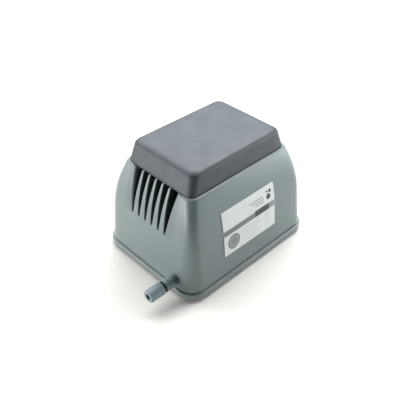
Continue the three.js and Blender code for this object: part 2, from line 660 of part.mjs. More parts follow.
function valveBox(side) {
  const bore = (radius, x0, x1, z) => {
    const ends = [UNIT_X + side * x0, UNIT_X + side * x1].sort((a, b) => a - b);
    return cylinderX(radius, ...ends, 0, ROD_Z + z, radius > 20 ? 24 : 14);
  };
  const [halfWidth, halfHeight] = [HEAD_HALF_WIDTH, HEAD_HALF_HEIGHT];
  const [cavityWidth, cavityTop] = [halfWidth - 4, halfHeight - 3];
  const behind = PARTITION_X + PARTITION;
  return cut(
    headBlock(side, HEAD_X, HEAD_BACK_X, -halfWidth, halfWidth, -halfHeight, halfHeight),
    bore(CHAMBER_RADIUS, HEAD_X - 1, PARTITION_X, 0),
    headBlock(side, behind, HEAD_BACK_X + 1, -cavityWidth, cavityWidth, 2, cavityTop),
    headBlock(side, behind, HEAD_BACK_X + 1, -cavityWidth, cavityWidth, -cavityTop, -2),
    bore(VALVE_PORT_RADIUS, PARTITION_X - 1, behind + 1, VALVE_PORT_RISE),
    bore(VALVE_PORT_RADIUS, PARTITION_X - 1, behind + 1, -VALVE_PORT_RISE),
    cylinderZ(PORT_RADIUS, UNIT_X + side * TANK_PORT_X, TANK_PORT_Y, ROD_Z - halfHeight - 3, ROD_Z - 20),
  );
}

function headCover(side) {
  const near = HEAD_BACK_X + GAP;
  const [y, z] = [HEAD_HALF_WIDTH, HEAD_HALF_HEIGHT];
  const cover = headBlock(side, near, near + 3, -y, y, -z, z);
  return cut(cover, headBlock(side, near - 1, near + 4, -20, 20, 8, 20));
}

// Inlet flaps hinge below their port and open into the chamber, outlet flaps hinge above and open outwards.
function valveFlap(side, inlet) {
  const face = inlet ? PARTITION_X - GAP - FLAP_THICKNESS : PARTITION_X + PARTITION + GAP;
  const middle = ROD_Z + (inlet ? VALVE_PORT_RISE : -VALVE_PORT_RISE);
  const ends = [UNIT_X + side * face, UNIT_X + side * (face + FLAP_THICKNESS)].sort((a, b) => a - b);
  const disc = cylinderX(FLAP_RADIUS, ...ends, 0, middle, 16);
  const tab = inlet ? [middle - 9, middle] : [middle, middle + 9];
  return join(disc, box(...ends, -4, 4, ...tab));
}

// ---- Materials ----
function material(color, roughness, metalness = 0) {
  return new THREE.MeshStandardMaterial({ color, roughness, metalness });
}

const finish = {
  housing: material(0x8c9a99, 0.42),
  cover: material(0x66696f, 0.48),
  foam: material(0x2c2e31, 0.95),
  label: material(0xd4d7d4, 0.35),
  nozzle: material(0x7d8d94, 0.45),
  rubber: material(0x202324, 0.8),
  darkPlastic: material(0x33383a, 0.55),
  tank: material(0x7b7f80, 0.5),
  aluminium: material(0xb9bcbd, 0.35, 0.9),
  steel: material(0x8f9294, 0.3, 1),
  core: material(0x5b5e60, 0.45, 0.8),
  bobbin: material(0xd8d2bf, 0.6),
  copper: material(0xa85f33, 0.35, 0.8),
  magnet: material(0x3b3c3e, 0.5, 0.3),
  head: material(0x55595b, 0.55),
  lead: material(0x7b3a2a, 0.5),
};

// ---- Assembly ----
const pump = new THREE.Group();

function add(name, solid, look) {
  const mesh = new THREE.Mesh(geometryOf(solid), look);
  mesh.name = name;
  pump.add(mesh);
}

add("upper_housing", upperHousing(), finish.housing);
add("base_tray", baseTray(), finish.housing);
add("housing_gasket", housingGasket(), finish.rubber);
add("filter_cover", filterCover(), finish.cover);
add("air_filter", airFilter(), finish.foam);
add("rating_label", ratingLabel(), finish.label);
add("outlet_nozzle", outletNozzle(), finish.nozzle);
add("outlet_lock_ring", outletLockRing(), finish.darkPlastic);
add("outlet_grommet", outletGrommet(), finish.rubber);
add("outlet_hose", outletHose(), finish.rubber);
add("cable_gland", cableGland(), finish.darkPlastic);
add("terminal_block", terminalBlock(), finish.bobbin);
add("air_tank", airTank(), finish.tank);
add("tank_gasket", tankGasket(), finish.rubber);
add("tank_lid", tankLid(), finish.tank);
add("stator_frame", statorFrame(), finish.aluminium);
add("drive_rod", driveRod(), finish.aluminium);

corners.forEach(([sx, sy]) => {
  const place = `${sy < 0 ? "front" : "rear"}_${sx < 0 ? "left" : "right"}`;
  add(`rubber_foot_${place}`, rubberFoot(sx, sy), finish.rubber);
  add(`housing_screw_${place}`, housingScrew(sx, sy), finish.steel);
  add(`vibration_mount_${place}`, vibrationMount(sx, sy), finish.rubber);
});

for (const [place, side] of [["front", -1], ["rear", 1]]) {
  add(`stator_core_${place}`, statorCore(side), finish.core);
  add(`coil_bobbin_${place}`, coilBobbin(side), finish.bobbin);
  add(`coil_winding_${place}`, coilWinding(side), finish.copper);
  add(`coil_lead_${place}`, coilLead(side), finish.lead);
}

for (const [place, side] of [["left", -1], ["right", 1]]) {
  add(`magnet_${place}`, magnetBlock(side), finish.magnet);
  add(`diaphragm_${place}`, diaphragm(side), finish.rubber);
  add(`inner_plate_${place}`, innerPlate(side), finish.aluminium);
  add(`outer_plate_${place}`, outerPlate(side), finish.aluminium);
  add(`rod_nut_${place}`, rodNut(side), finish.steel);
  add(`clamp_ring_${place}`, clampRing(side), finish.aluminium);
  add(`valve_box_${place}`, valveBox(side), finish.head);
  add(`head_cover_${place}`, headCover(side), finish.head);
  add(`inlet_flap_${place}`, valveFlap(side, true), finish.rubber);
  add(`outlet_flap_${place}`, valveFlap(side, false), finish.rubber);
  add(`head_bush_${place}`, headBush(side), finish.rubber);
}

pump.position.set(-(OUTLET_TIP_X + GLAND_END_X) / 2, 0, FOOT_HEIGHT);

export default pump;
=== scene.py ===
"""Looks for a linear diaphragm air pump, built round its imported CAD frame.

Shapes are worked out in millimetres from the middle of the base tray's underside, as the CAD lays them
out: -X is the louvred outlet end, -Y the label side. link_mesh turns them into metres in the frame that
CAD, Blender and MuJoCo share.
"""
import json
import math

import bmesh
import bpy
from mathutils import Matrix, Vector, noise


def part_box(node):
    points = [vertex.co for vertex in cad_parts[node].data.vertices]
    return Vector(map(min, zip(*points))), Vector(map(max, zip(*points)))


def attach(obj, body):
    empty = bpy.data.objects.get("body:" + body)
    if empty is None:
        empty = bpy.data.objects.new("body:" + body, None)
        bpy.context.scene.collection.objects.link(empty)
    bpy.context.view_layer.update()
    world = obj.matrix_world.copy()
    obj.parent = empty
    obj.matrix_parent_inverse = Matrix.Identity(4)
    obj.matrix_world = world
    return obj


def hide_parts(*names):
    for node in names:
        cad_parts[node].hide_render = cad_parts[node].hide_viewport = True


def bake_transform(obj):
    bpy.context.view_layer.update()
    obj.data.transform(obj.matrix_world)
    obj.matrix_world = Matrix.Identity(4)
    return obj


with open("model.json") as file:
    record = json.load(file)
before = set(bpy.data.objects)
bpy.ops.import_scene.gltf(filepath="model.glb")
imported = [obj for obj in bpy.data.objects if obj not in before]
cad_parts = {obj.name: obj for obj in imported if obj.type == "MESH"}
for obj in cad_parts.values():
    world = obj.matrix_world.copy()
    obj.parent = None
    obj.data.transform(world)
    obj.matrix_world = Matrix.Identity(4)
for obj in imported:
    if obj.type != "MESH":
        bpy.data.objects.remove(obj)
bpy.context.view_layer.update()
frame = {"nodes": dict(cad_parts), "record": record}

MM = 0.001
TRAY_LOW, TRAY_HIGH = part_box("base_tray")
ORIGIN = Vector(((TRAY_LOW.x + TRAY_HIGH.x) / 2, (TRAY_LOW.y + TRAY_HIGH.y) / 2, TRAY_LOW.z))
QUARTERS = ((1, 1), (-1, 1), (-1, -1), (1, -1))
SIDES = (("left", -1), ("right", 1))
CORNERS = [(f"{'front' if sy < 0 else 'rear'}_{'left' if sx < 0 else 'right'}", sx, sy)
           for sx, sy in QUARTERS]

# Housing and tray, in millimetres.
HOUSING_HALF = (116.5, 91.25)
HOUSING_BOTTOM = 9.5
HOUSING_TOP = 140.5
DRAFT = math.radians(5.5)
SHOULDER_HEIGHT = 70
SHOULDER_RADIUS = 222
CORNER_LOW = 24
CORNER_HIGH = 12
TOP_EDGE = 3
WALL = 3
CAVITY_TOP = 114
WELL_HALF = (78.5, 52.5)
WELL_RADIUS = 6
WELL_FLOOR = 117
WELL_BEND = 1.5  # radius between the well's wall and its floor
WELL_EDGE = 0.8  # radius round the well's mouth
WELL_PORTS_X = (-42, -14, 14, 42)
RIM_HALF = (118.5, 93.5)
RIM_RADIUS = 26
RIM_TOP = 8
TRAY_FLOOR = 3
TONGUE_TOP = 12
FOOT_AT = (98, 73)
FOOT_HEIGHT = 4
POST_RADIUS = 5.5
SCREW_HOLE = 2.4

# Louvres.
LOUVRE_MIDDLES = [32.5 - 13 * i for i in range(6)]
LOUVRE_TIP = 78
LOUVRE_HALF = (1.5, 4.8)  # half width at the tip and at the top
LOUVRE_RAMP = 5.5
LOUVRE_BACK = -86  # x of the louvres' back wall
LOUVRE_FLOOR_TOP = 100
LOUVRE_BLOCK = 47  # half width of the solid block behind the louvres
WINDOW = (3.5, 119, 138)  # half width, bottom and top

# Cover and filter.
COVER_BOTTOM = 140.8
COVER_TOP = 171
COVER_LOW = (88.7, 62.8)
COVER_HIGH = (79.6, 58.4)
COVER_WALL = 2.5
COVER_CORNER = 11
COVER_EDGE = (8.5, 6.5)  # how far the rounded top edge reaches in, and down

# Label, outlet and cable entry.
LABEL_ENDS = (-52.5, 47.5)
LABEL_LOW, LABEL_HIGH = 39.5, 107.5
OUTLET = (-58, 22)  # y, z
GLAND = (55, 24)  # y, z
OUTLET_HOLE = 7.3

# Pump unit.
UNIT_X = 5
ROD_Z = 79
ROD_BORE = 4.3  # radius inside every piece that sits on the rod
PLATE_RADIUS = 18
CLAMP_RADIUS = 29.5
COIL_HALF = (14.3, 23.3)
COIL_CORNER = 4.3
BOBBIN_HALF = (6.7, 15.2)

# Camera, solved from the object's outline in the photograph, and the point that the lights face, in metres.
VIEW_AZIMUTH = math.radians(-44.1)
VIEW_ELEVATION = math.radians(36.96)
VIEW_DISTANCE = 0.8179
VIEW_HEIGHT = 0.085
LIGHTS_AIM = (0.016, 0, 0.08)

# Colours of dust, rust and foam dirt, and the colour of painted shade in recesses.
DUST = (0.5, 0.48, 0.44, 1)
# painted shade: the near-black teal painted into the louvre slots and the nozzle's groove and bore
PAINTED_RECESS_SHADE = (0.006, 0.015, 0.017, 1)
RUST = (0.12, 0.06, 0.035, 1)
FOAM_DIRT = (0.16, 0.14, 0.11, 1)


def lerp(a, b, share):
    return a + (b - a) * share


def smooth(value, low, high):
    """0 below low, 1 above high, and a soft step between."""
    share = min(1.0, max(0.0, (value - low) / (high - low)))
    return share * share * (3 - 2 * share)


# ---- Meshes ----
def link_mesh(name, verts, faces):
    mesh = bpy.data.meshes.new(name)
    mesh.from_pydata([ORIGIN + Vector(v) * MM for v in verts], [], faces)
    work = bmesh.new()
    work.from_mesh(mesh)
    bmesh.ops.remove_doubles(work, verts=work.verts, dist=1e-7)
    bmesh.ops.recalc_face_normals(work, faces=work.faces)
    work.to_mesh(mesh)
    work.free()
    made = bpy.data.objects.new(name, mesh)
    bpy.context.scene.collection.objects.link(made)
    return made


def finish_piece(made, body, slot, replaces, look=None, sharp=35):
    """Shades a piece, fixes it to a body and gives it its slot's look, unless a look is named."""
    made.data.shade_smooth()
    made.data.set_sharp_from_angle(angle=math.radians(sharp))
    made.data.materials.clear()
    made.data.materials.append(look or LOOKS[slot])
    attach(made, body)
    if replaces:
        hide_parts(*replaces)
    return made


def make_piece(name, shape, body, slot, replaces=(), look=None, sharp=35):
    """shape is (points, faces) in millimetres."""
    return finish_piece(link_mesh(name, *shape), body, slot, replaces, look, sharp)


def join_shapes(*shapes):
    points, faces = [], []
    for more_points, more_faces in shapes:
        start = len(points)
        points += more_points
        faces += [[i + start for i in face] for face in more_faces]
    return points, faces


def boolean(made, shape, operation="DIFFERENCE"):
    """Cuts a closed shape out of an object, or joins it on, and keeps the result as the object's mesh."""
    tool = link_mesh("tool", *shape)
    step = made.modifiers.new("step", "BOOLEAN")
    step.operation, step.solver, step.object = operation, "EXACT", tool
    graph = bpy.context.evaluated_depsgraph_get()
    mesh = bpy.data.meshes.new_from_object(made.evaluated_get(graph), depsgraph=graph)
    made.modifiers.clear()
    made.data = mesh
    bpy.data.objects.remove(tool)


def skin(rings, loop=False):
    """Joins rings of equally many points. The end rings are capped, or with loop joined to each other."""
    count = len(rings[0])
    points = [point for ring in rings for point in ring]
    faces = []
    for row in range(len(rings) - (0 if loop else 1)):
        here, there = row * count, (row + 1) % len(rings) * count
        for i in range(count):
            j = (i + 1) % count
            faces.append([here + i, here + j, there + j, there + i])
    if not loop:
        faces.append(list(range(count))[::-1])
        faces.append([(len(rings) - 1) * count + i for i in range(count)])
    return points, faces


def rounded_ring(half, radius, z, corner_steps=12, side_steps=(10, 8), left_side=None):
    """A rounded rectangle, anticlockwise from the +X +Y corner. left_side replaces the points along -X."""
    (half_x, half_y), points = half, []
    corner = []
    for quarter, (sx, sy) in enumerate(QUARTERS):
        turns = [(quarter + step / corner_steps) * math.pi / 2 for step in range(corner_steps + 1)]
        corner.append([(sx * (half_x - radius) + radius * math.cos(a),
                        sy * (half_y - radius) + radius * math.sin(a), z) for a in turns])
    for quarter in range(4):
        points += corner[quarter]
        if quarter == 1 and left_side:
            points += left_side
            continue
        (x0, y0, _), (x1, y1, _) = corner[quarter][-1], corner[(quarter + 1) % 4][0]
        steps = side_steps[quarter % 2]
        points += [(lerp(x0, x1, i / steps), lerp(y0, y1, i / steps), z) for i in range(1, steps)]
    return points


def fillet(points, radius):
    """Rounds the corners of a closed outline. A point may carry its own radius as a third number."""
    steps = 4
    rounded = []
    for i, point in enumerate(points):
        here = Vector(point[:2])
        before = Vector(points[i - 1][:2]) - here
        after = Vector(points[(i + 1) % len(points)][:2]) - here
        size = min(point[2] if len(point) > 2 else radius, 0.45 * before.length, 0.45 * after.length)
        if size < 0.01:
            rounded.append(tuple(here))
            continue
        start, end = here + before.normalized() * size, here + after.normalized() * size
        for step in range(steps + 1):
            t = step / steps
            rounded.append(tuple(start * (1 - t) ** 2 + here * 2 * t * (1 - t) + end * t * t))
    return rounded


def turned(profile, axis, at, segments, radius=0.4):
    """Turns a closed outline of (radius, position) points about the X or Z axis through at."""
    outline = fillet(profile, radius) if radius else profile
    rings = []
    for i in range(segments):
        angle = 2 * math.pi * i / segments
        c, s = math.cos(angle), math.sin(angle)
        if axis == "X":
            rings.append([(h, at[0] + r * c, at[1] + r * s) for r, h in outline])
        else:
            rings.append([(at[0] + r * c, at[1] + r * s, h) for r, h in outline])
    return skin(rings, loop=True)


def prism_x(outline, x0, x1):
    """An outline of (y, z) points, extruded along X."""
    return skin([[(x, y, z) for y, z in outline] for x in (x0, x1)])


def prism_z(outline, z0, z1):
    """An outline of (x, y) points, extruded along Z."""
    return skin([[(x, y, z) for x, y in outline] for z in (z0, z1)])


def block(x0, x1, y0, y1, z0, z1):
    return prism_x([(y0, z0), (y1, z0), (y1, z1), (y0, z1)], x0, x1)


def soft_block(low, high, edge):
    """A box with rounded edges."""
    work = bmesh.new()
    bmesh.ops.create_cube(work, size=1)
    for vert in work.verts:
        vert.co = Vector(lerp(low[k], high[k], vert.co[k] + 0.5) for k in range(3))
    bmesh.ops.bevel(work, geom=work.edges[:], offset=edge, segments=3, profile=0.5, affect="EDGES")
    return read_shape(work)


def read_shape(work):
    """The points and faces of a bmesh, which is freed."""
    shape = [tuple(v.co) for v in work.verts], [[v.index for v in f.verts] for f in work.faces]
    work.free()
    return shape


def circle(at, radius, steps=40):
    angles = [2 * math.pi * i / steps for i in range(steps)]
    return [(at[0] + radius * math.cos(a), at[1] + radius * math.sin(a)) for a in angles]


def round_steps(radius, degrees):
    """(radius * (1 - cos), radius * (1 - sin)) at each angle, for the rings of a rounded edge."""
    angles = [math.radians(turn) for turn in degrees]
    return [(radius * (1 - math.cos(a)), radius * (1 - math.sin(a))) for a in angles]


def spline(points, steps):
    """Points along a smooth curve through the given points (Catmull-Rom)."""
    path = [Vector(p) for p in points]
    ends = [path[0] * 2 - path[1], *path, path[-1] * 2 - path[-2]]
    made = []
    for i in range(len(path) - 1):
        a, b, c, d = ends[i:i + 4]
        for step in range(steps):
            t = step / steps
            made.append(0.5 * (2 * b + (c - a) * t + (2 * a - 5 * b + 4 * c - d) * t * t
                               + (3 * b - a - 3 * c + d) * t ** 3))
    return [*made, path[-1]]


def tube(path, radius, sides, bore=0, loop=False):
    """A round tube along a path, solid or hollow, or closed on itself."""
    turns = [2 * math.pi * k / sides for k in range(sides)]

    def ring(reach):
        legs = [(reach * math.cos(a), reach * math.sin(a)) for a in turns]
        return [tuple(spot + normal * near + across * far) for near, far in legs]

    normal, outer, inner = None, [], []
    count = len(path)
    for i, spot in enumerate(path):
        before = path[i - 1] if i or loop else spot
        after = path[(i + 1) % count] if i + 1 < count or loop else spot
        along = (after - before).normalized()
        if normal is None:
            normal = along.orthogonal()
        normal = (normal - along * normal.dot(along)).normalized()
        across = along.cross(normal)
        outer.append(ring(radius))
        inner.append(ring(bore))
    if bore:
        return skin(outer + inner[::-1], loop=True)
    return skin(outer, loop=loop)


# ---- Materials ----
def add_node(tree, kind, inputs=None, **settings):
    made = tree.nodes.new(kind)
    for key, value in settings.items():
        setattr(made, key, value)
    for key, value in (inputs or {}).items():
        if isinstance(value, bpy.types.NodeSocket):
            tree.links.new(value, made.inputs[key])
        else:
            made.inputs[key].default_value = value
    return made


def start_material(name, metallic=0.0, coat=0.0):
    material = bpy.data.materials.new(name)
    material.use_nodes = True
    tree = material.node_tree
    shader = tree.nodes["Principled BSDF"]
    shader.inputs["Metallic"].default_value = metallic
    shader.inputs["Coat Weight"].default_value = coat
    place = tree.nodes.new("ShaderNodeTexCoord").outputs["Object"]
    return material, tree, shader, place


def shade(color, factor):
    return (*(min(1.0, c * factor) for c in color[:3]), 1.0)


def noise_value(tree, place, per_metre, detail, roughness=0.5):
    inputs = {"Vector": place, "Scale": per_metre, "Detail": detail, "Roughness": roughness}
    return add_node(tree, "ShaderNodeTexNoise", inputs).outputs["Fac"]


def mix_colors(tree, factor, first, second):
    return add_node(tree, "ShaderNodeMix", {0: factor, 6: first, 7: second}, data_type="RGBA").outputs[2]


def multiply(tree, first, second):
    return add_node(tree, "ShaderNodeMath", {0: first, 1: second}, operation="MULTIPLY").outputs[0]


def height_above(tree, place):
    return add_node(tree, "ShaderNodeSeparateXYZ", {0: place}).outputs["Z"]


def map_value(tree, value, low, high, new_low, new_high):
    inputs = {"Value": value, "From Min": low, "From Max": high, "To Min": new_low, "To Max": new_high}
    return add_node(tree, "ShaderNodeMapRange", inputs).outputs["Result"]


def bump(tree, shader, height, strength, distance):
    made = add_node(tree, "ShaderNodeBump", {"Height": height, "Strength": strength, "Distance": distance})
    tree.links.new(made.outputs["Normal"], shader.inputs["Normal"])


def connect(tree, shader, tint, sheen):
    tree.links.new(tint, shader.inputs["Base Color"])
    tree.links.new(sheen, shader.inputs["Roughness"])


def edge_share(tree):
    """0 on flat surfaces and 1 on sharp outer edges, which rub lighter."""
    pointiness = tree.nodes.new("ShaderNodeNewGeometry").outputs["Pointiness"]
    return map_value(tree, pointiness, 0.52, 0.6, 0.0, 1.0)


def plastic(name, color, roughness, grain=0.25, wear=0.35, dust=0.0, painted_shade=0.0):
    """Moulded plastic: cloudy tint, fine spark-eroded grain, edges rubbed lighter, dust low down.
    painted_shade darkens what the mesh's "recess" attribute marks, as painted shade, and lowers the
    specular level there."""
    material, tree, shader, place = start_material(name)
    clouds = noise_value(tree, place, 22, 3)
    tint = mix_colors(tree, clouds, shade(color, 0.95), shade(color, 1.05))
    speckle = map_value(tree, noise_value(tree, place, 1500, 1), 0.35, 0.65, 0.0, 0.04)
    tint = mix_colors(tree, speckle, tint, shade(color, 1.35))
    tint = mix_colors(tree, multiply(tree, edge_share(tree), wear), tint, shade(color, 1.5))
    if dust:
        low = map_value(tree, height_above(tree, place), 0.0, 0.03, dust, 0.0)
        tint = mix_colors(tree, multiply(tree, low, clouds), tint, DUST)
    # Painted shade: darker colour and a lower specular level where the "recess" attribute is high.
    if painted_shade:
        recess = add_node(tree, "ShaderNodeAttribute", attribute_name="recess").outputs["Fac"]
        tint = mix_colors(tree, multiply(tree, recess, painted_shade), tint, PAINTED_RECESS_SHADE)
        gloss = map_value(tree, recess, 0.0, 1.0, 0.5, 0.1)
        tree.links.new(gloss, shader.inputs["Specular IOR Level"])
    sheen = map_value(tree, noise_value(tree, place, 60, 4), 0.3, 0.7, roughness - 0.05, roughness + 0.06)
    connect(tree, shader, tint, sheen)
    bump(tree, shader, noise_value(tree, place, 1300, 2), grain, 0.00006)
    return material


def rubber(name, color, roughness=0.72):
    """Matt rubber with a slight bloom and fine pits."""
    material, tree, shader, place = start_material(name)
    bloom = map_value(tree, noise_value(tree, place, 70, 4, 0.6), 0.35, 0.75, 0.0, 0.5)
    tint = mix_colors(tree, bloom, shade(color, 0.85), shade(color, 1.9))
    sheen = map_value(tree, noise_value(tree, place, 160, 2), 0.3, 0.7, roughness - 0.08, roughness + 0.1)
    connect(tree, shader, tint, sheen)
    bump(tree, shader, noise_value(tree, place, 1100, 3), 0.3, 0.00008)
    return material


def metal(name, color, roughness):
    """Cast, turned or plated metal: uneven tint, fine scratches in the gloss."""
    material, tree, shader, place = start_material(name, metallic=1.0)
    stretched = add_node(tree, "ShaderNodeMapping", {"Vector": place, "Scale": (0.12, 1, 1)})
    marks = noise_value(tree, stretched.outputs["Vector"], 900, 3)
    clouds = noise_value(tree, place, 45, 4, 0.6)
    tint = mix_colors(tree, clouds, shade(color, 0.8), shade(color, 1.12))
    sheen = map_value(tree, marks, 0.3, 0.7, roughness - 0.07, roughness + 0.12)
    connect(tree, shader, tint, sheen)
    bump(tree, shader, marks, 0.25, 0.00003)
    return material


def laminated(name, color):
    """Steel sheets a millimetre thick, stacked in Z: a dark line and a step between each."""
    material, tree, shader, place = start_material(name, metallic=0.85)
    half_sheets = multiply(tree, height_above(tree, place), 2000.0)
    across = add_node(tree, "ShaderNodeMath", {0: half_sheets, 1: 1.0}, operation="PINGPONG").outputs[0]
    line = map_value(tree, across, 0.0, 0.3, 0.0, 1.0)
    rust = map_value(tree, noise_value(tree, place, 120, 4, 0.65), 0.55, 0.75, 0.0, 0.6)
    tint = mix_colors(tree, line, shade(color, 0.35), shade(color, 1.1))
    tint = mix_colors(tree, rust, tint, RUST)
    connect(tree, shader, tint, map_value(tree, rust, 0.0, 0.6, 0.38, 0.75))
    bump(tree, shader, line, 0.5, 0.0001)
    return material


def open_foam(name, color):
    """Open-cell foam: lighter struts, with the pores between them painted dark as painted shade, and
    patches of dirt.
    """
    material, tree, shader, place = start_material(name)
    inputs = {"Vector": place, "Scale": 620}
    cells = add_node(tree, "ShaderNodeTexVoronoi", inputs, feature="DISTANCE_TO_EDGE")
    strut = map_value(tree, cells.outputs["Distance"], 0.02, 0.22, 1.0, 0.0)
    dirt = map_value(tree, noise_value(tree, place, 30, 4), 0.4, 0.7, 0.0, 0.35)
    # painted shade: the pores darker than the struts
    tint = mix_colors(tree, strut, shade(color, 0.3), shade(color, 1.8))
    tree.links.new(mix_colors(tree, dirt, tint, FOAM_DIRT), shader.inputs["Base Color"])
    shader.inputs["Roughness"].default_value = 0.95
    shader.inputs["Sheen Weight"].default_value = 0.3
    bump(tree, shader, strut, 0.9, 0.0006)
    return material


def enamelled_copper(name, color):
    """Varnished copper wire, darker where the varnish has run."""
    material, tree, shader, place = start_material(name, metallic=0.9, coat=0.6)
    runs = map_value(tree, noise_value(tree, place, 110, 4, 0.6), 0.35, 0.7, 0.0, 1.0)
    tint = mix_colors(tree, runs, shade(color, 0.55), shade(color, 1.15))
    connect(tree, shader, tint, map_value(tree, runs, 0.0, 1.0, 0.45, 0.3))
    bump(tree, shader, noise_value(tree, place, 900, 2), 0.15, 0.00003)
    return material


def ferrite(name, color):
    """Ground ferrite: dark, with pale grains."""
    material, tree, shader, place = start_material(name)
    grains = map_value(tree, noise_value(tree, place, 1800, 2), 0.58, 0.7, 0.0, 1.0)
    tint = mix_colors(tree, grains, shade(color, 1), shade(color, 3))
    sheen = map_value(tree, noise_value(tree, place, 90, 3), 0.3, 0.7, 0.42, 0.6)
    connect(tree, shader, tint, sheen)
    bump(tree, shader, grains, 0.3, 0.00005)
    return material


def printed_film(name, color, roughness=0.32, coat=0.15):
    """Printed film: nearly even, with faint print speckle and a dull handling mark here and there."""
    material, tree, shader, place = start_material(name, coat=coat)
    dots = map_value(tree, noise_value(tree, place, 2600, 1), 0.4, 0.6, 0.0, 1.0)
    handled = map_value(tree, noise_value(tree, place, 50, 4, 0.6), 0.45, 0.75, 0.0, 0.5)
    tint = mix_colors(tree, dots, shade(color, 0.94), shade(color, 1.06))
    tint = mix_colors(tree, handled, tint, shade(color, 0.9))
    connect(tree, shader, tint, map_value(tree, handled, 0.0, 0.5, roughness, roughness + 0.2))
    bump(tree, shader, handled, 0.08, 0.00005)
    return material


LOOKS = {
    # The housing and nozzle plastics get painted shade where their meshes mark a recess.
    "housing_plastic": plastic("housing plastic", (0.132, 0.167, 0.17), 0.34, grain=0.1, wear=0.3,
                               dust=0.15, painted_shade=0.95),
    "cover_plastic": plastic("cover plastic", (0.029, 0.036, 0.047), 0.5, grain=0.15, wear=0.25),
    "filter_foam": open_foam("filter foam", (0.04, 0.043, 0.05)),
    "label_film": printed_film("label film", (0.56, 0.585, 0.575)),
    "nozzle_plastic": plastic("nozzle plastic", (0.165, 0.215, 0.235), 0.34, grain=0.15, wear=0.4,
                              painted_shade=0.9),
    "dark_plastic": plastic("dark plastic", (0.035, 0.042, 0.045), 0.45, wear=0.5),
    "black_rubber": rubber("black rubber", (0.018, 0.019, 0.02)),
    "grey_rubber": rubber("grey rubber", (0.095, 0.122, 0.126)),
    "tank_plastic": plastic("tank plastic", (0.2, 0.21, 0.21), 0.5),
    "head_plastic": plastic("head plastic", (0.09, 0.1, 0.105), 0.5, grain=0.4),
    "aluminium": metal("aluminium", (0.62, 0.63, 0.64), 0.42),
    "zinc_steel": metal("zinc steel", (0.6, 0.6, 0.58), 0.38),
    "core_steel": laminated("core steel", (0.2, 0.2, 0.21)),
    "bobbin_plastic": plastic("bobbin plastic", (0.62, 0.57, 0.44), 0.5, wear=0.1),
    "copper_wire": enamelled_copper("copper wire", (0.5, 0.19, 0.07)),
    "magnet_ferrite": ferrite("magnet ferrite", (0.05, 0.05, 0.055)),
    "lead_insulation": rubber("lead insulation", (0.22, 0.045, 0.03), 0.5),
}
INK_COLORS = {
    "grey": (0.19, 0.2, 0.2),
    "dark": (0.03, 0.034, 0.035),
    "slate": (0.2, 0.22, 0.25),
    "band": (0.14, 0.15, 0.15),
    "disc": (0.18, 0.195, 0.2),
    "ring": (0.3, 0.32, 0.32),
    "pale": (0.42, 0.44, 0.43),
}
INKS = {name: printed_film(f"{name} ink", color, 0.5, coat=0) for name, color in INK_COLORS.items()}


# ---- Housing ----
def inset(z):
    """How far the wall leans in at a height: a straight draft, then an arc over the shoulder."""
    if z <= SHOULDER_HEIGHT:
        return z * math.tan(DRAFT)
    sine = math.sin(DRAFT) + (z - SHOULDER_HEIGHT) / SHOULDER_RADIUS
    straight = SHOULDER_HEIGHT * math.tan(DRAFT)
    return straight + SHOULDER_RADIUS * (math.cos(DRAFT) - math.sqrt(1 - sine * sine))


def wall_half(z, inward):
    return HOUSING_HALF[0] - inset(z) - inward, HOUSING_HALF[1] - inset(z) - inward


def wall_radius(z, inward):
    return lerp(CORNER_LOW, CORNER_HIGH, z / HOUSING_TOP) - inward


def louvre_floor(z):
    slope = min(1.0, max(0.0, (z - LOUVRE_TIP) / (LOUVRE_FLOOR_TOP - LOUVRE_TIP)))
    return lerp(inset(LOUVRE_TIP) - HOUSING_HALF[0], LOUVRE_BACK, slope)


def louvre_columns(z, depth):
    """(y, depth) across all the louvres at a height, from +Y to -Y. The two outermost edges are ramps."""
    share = min(1.0, max(0.0, (z - LOUVRE_TIP) / (HOUSING_TOP + 1 - LOUVRE_TIP)))
    half = lerp(*LOUVRE_HALF, share)
    ramp = 0.2 + LOUVRE_RAMP * share
    ramp_depth = min(ramp, 0.8 * depth)
    soft = min(1.0, depth / 3)
    floor_edge = [(0.92 * half, depth - 0.2 * min(depth, 4)), (0.7 * half, depth - 0.03 * min(depth, 4))]
    plain = [(half + 0.8, 0), (half + 0.4, 0.1 * soft), (half + 0.12, 0.34 * soft), (half, 0.75 * soft)]
    ramped = [(half + ramp + 0.9, 0), (half + ramp, 0.12 * soft), (half + ramp / 2, 0.5 * ramp_depth),
              (half + 0.1, ramp_depth)]
    columns = []
    for middle in LOUVRE_MIDDLES:
        upper = (ramped if middle == LOUVRE_MIDDLES[0] else plain) + floor_edge
        lower = (ramped if middle == LOUVRE_MIDDLES[-1] else plain) + floor_edge
        columns += [(middle + y, d) for y, d in upper]
        columns.append((middle, depth))
        columns += [(middle - y, d) for y, d in reversed(lower)]
    return columns


def louvre_side(surface, flat_half, z, depth, spread):
    """Points along the -X side at a height. spread evens the columns out where there are no louvres."""
    columns = louvre_columns(z, depth)
    outermost = columns[0][0] + 0.3
    fills = [lerp(flat_half, outermost, (k + 1) / 4) for k in range(3)]
    columns = [(y, 0) for y in fills] + columns + [(-y, 0) for y in reversed(fills)]
    even = [lerp(flat_half, -flat_half, (i + 1) / (len(columns) + 1)) for i in range(len(columns))]
    return [(surface + d, lerp(y, e, spread), z) for (y, d), e in zip(columns, even)]


def inner_side(surface, flat_half, z):
    """The same columns on the cavity's wall, where a solid block stands behind the louvres."""
    columns = [y for y, _ in louvre_columns(HOUSING_TOP, 0)]
    fills = [(flat_half + LOUVRE_BLOCK) / 2, LOUVRE_BLOCK + 0.15, LOUVRE_BLOCK - 0.15]
    columns = fills + columns + [-y for y in reversed(fills)]
    blocked = z > LOUVRE_TIP - 5
    return [(LOUVRE_BACK + WALL if blocked and abs(y) < LOUVRE_BLOCK else surface, y, z) for y in columns]


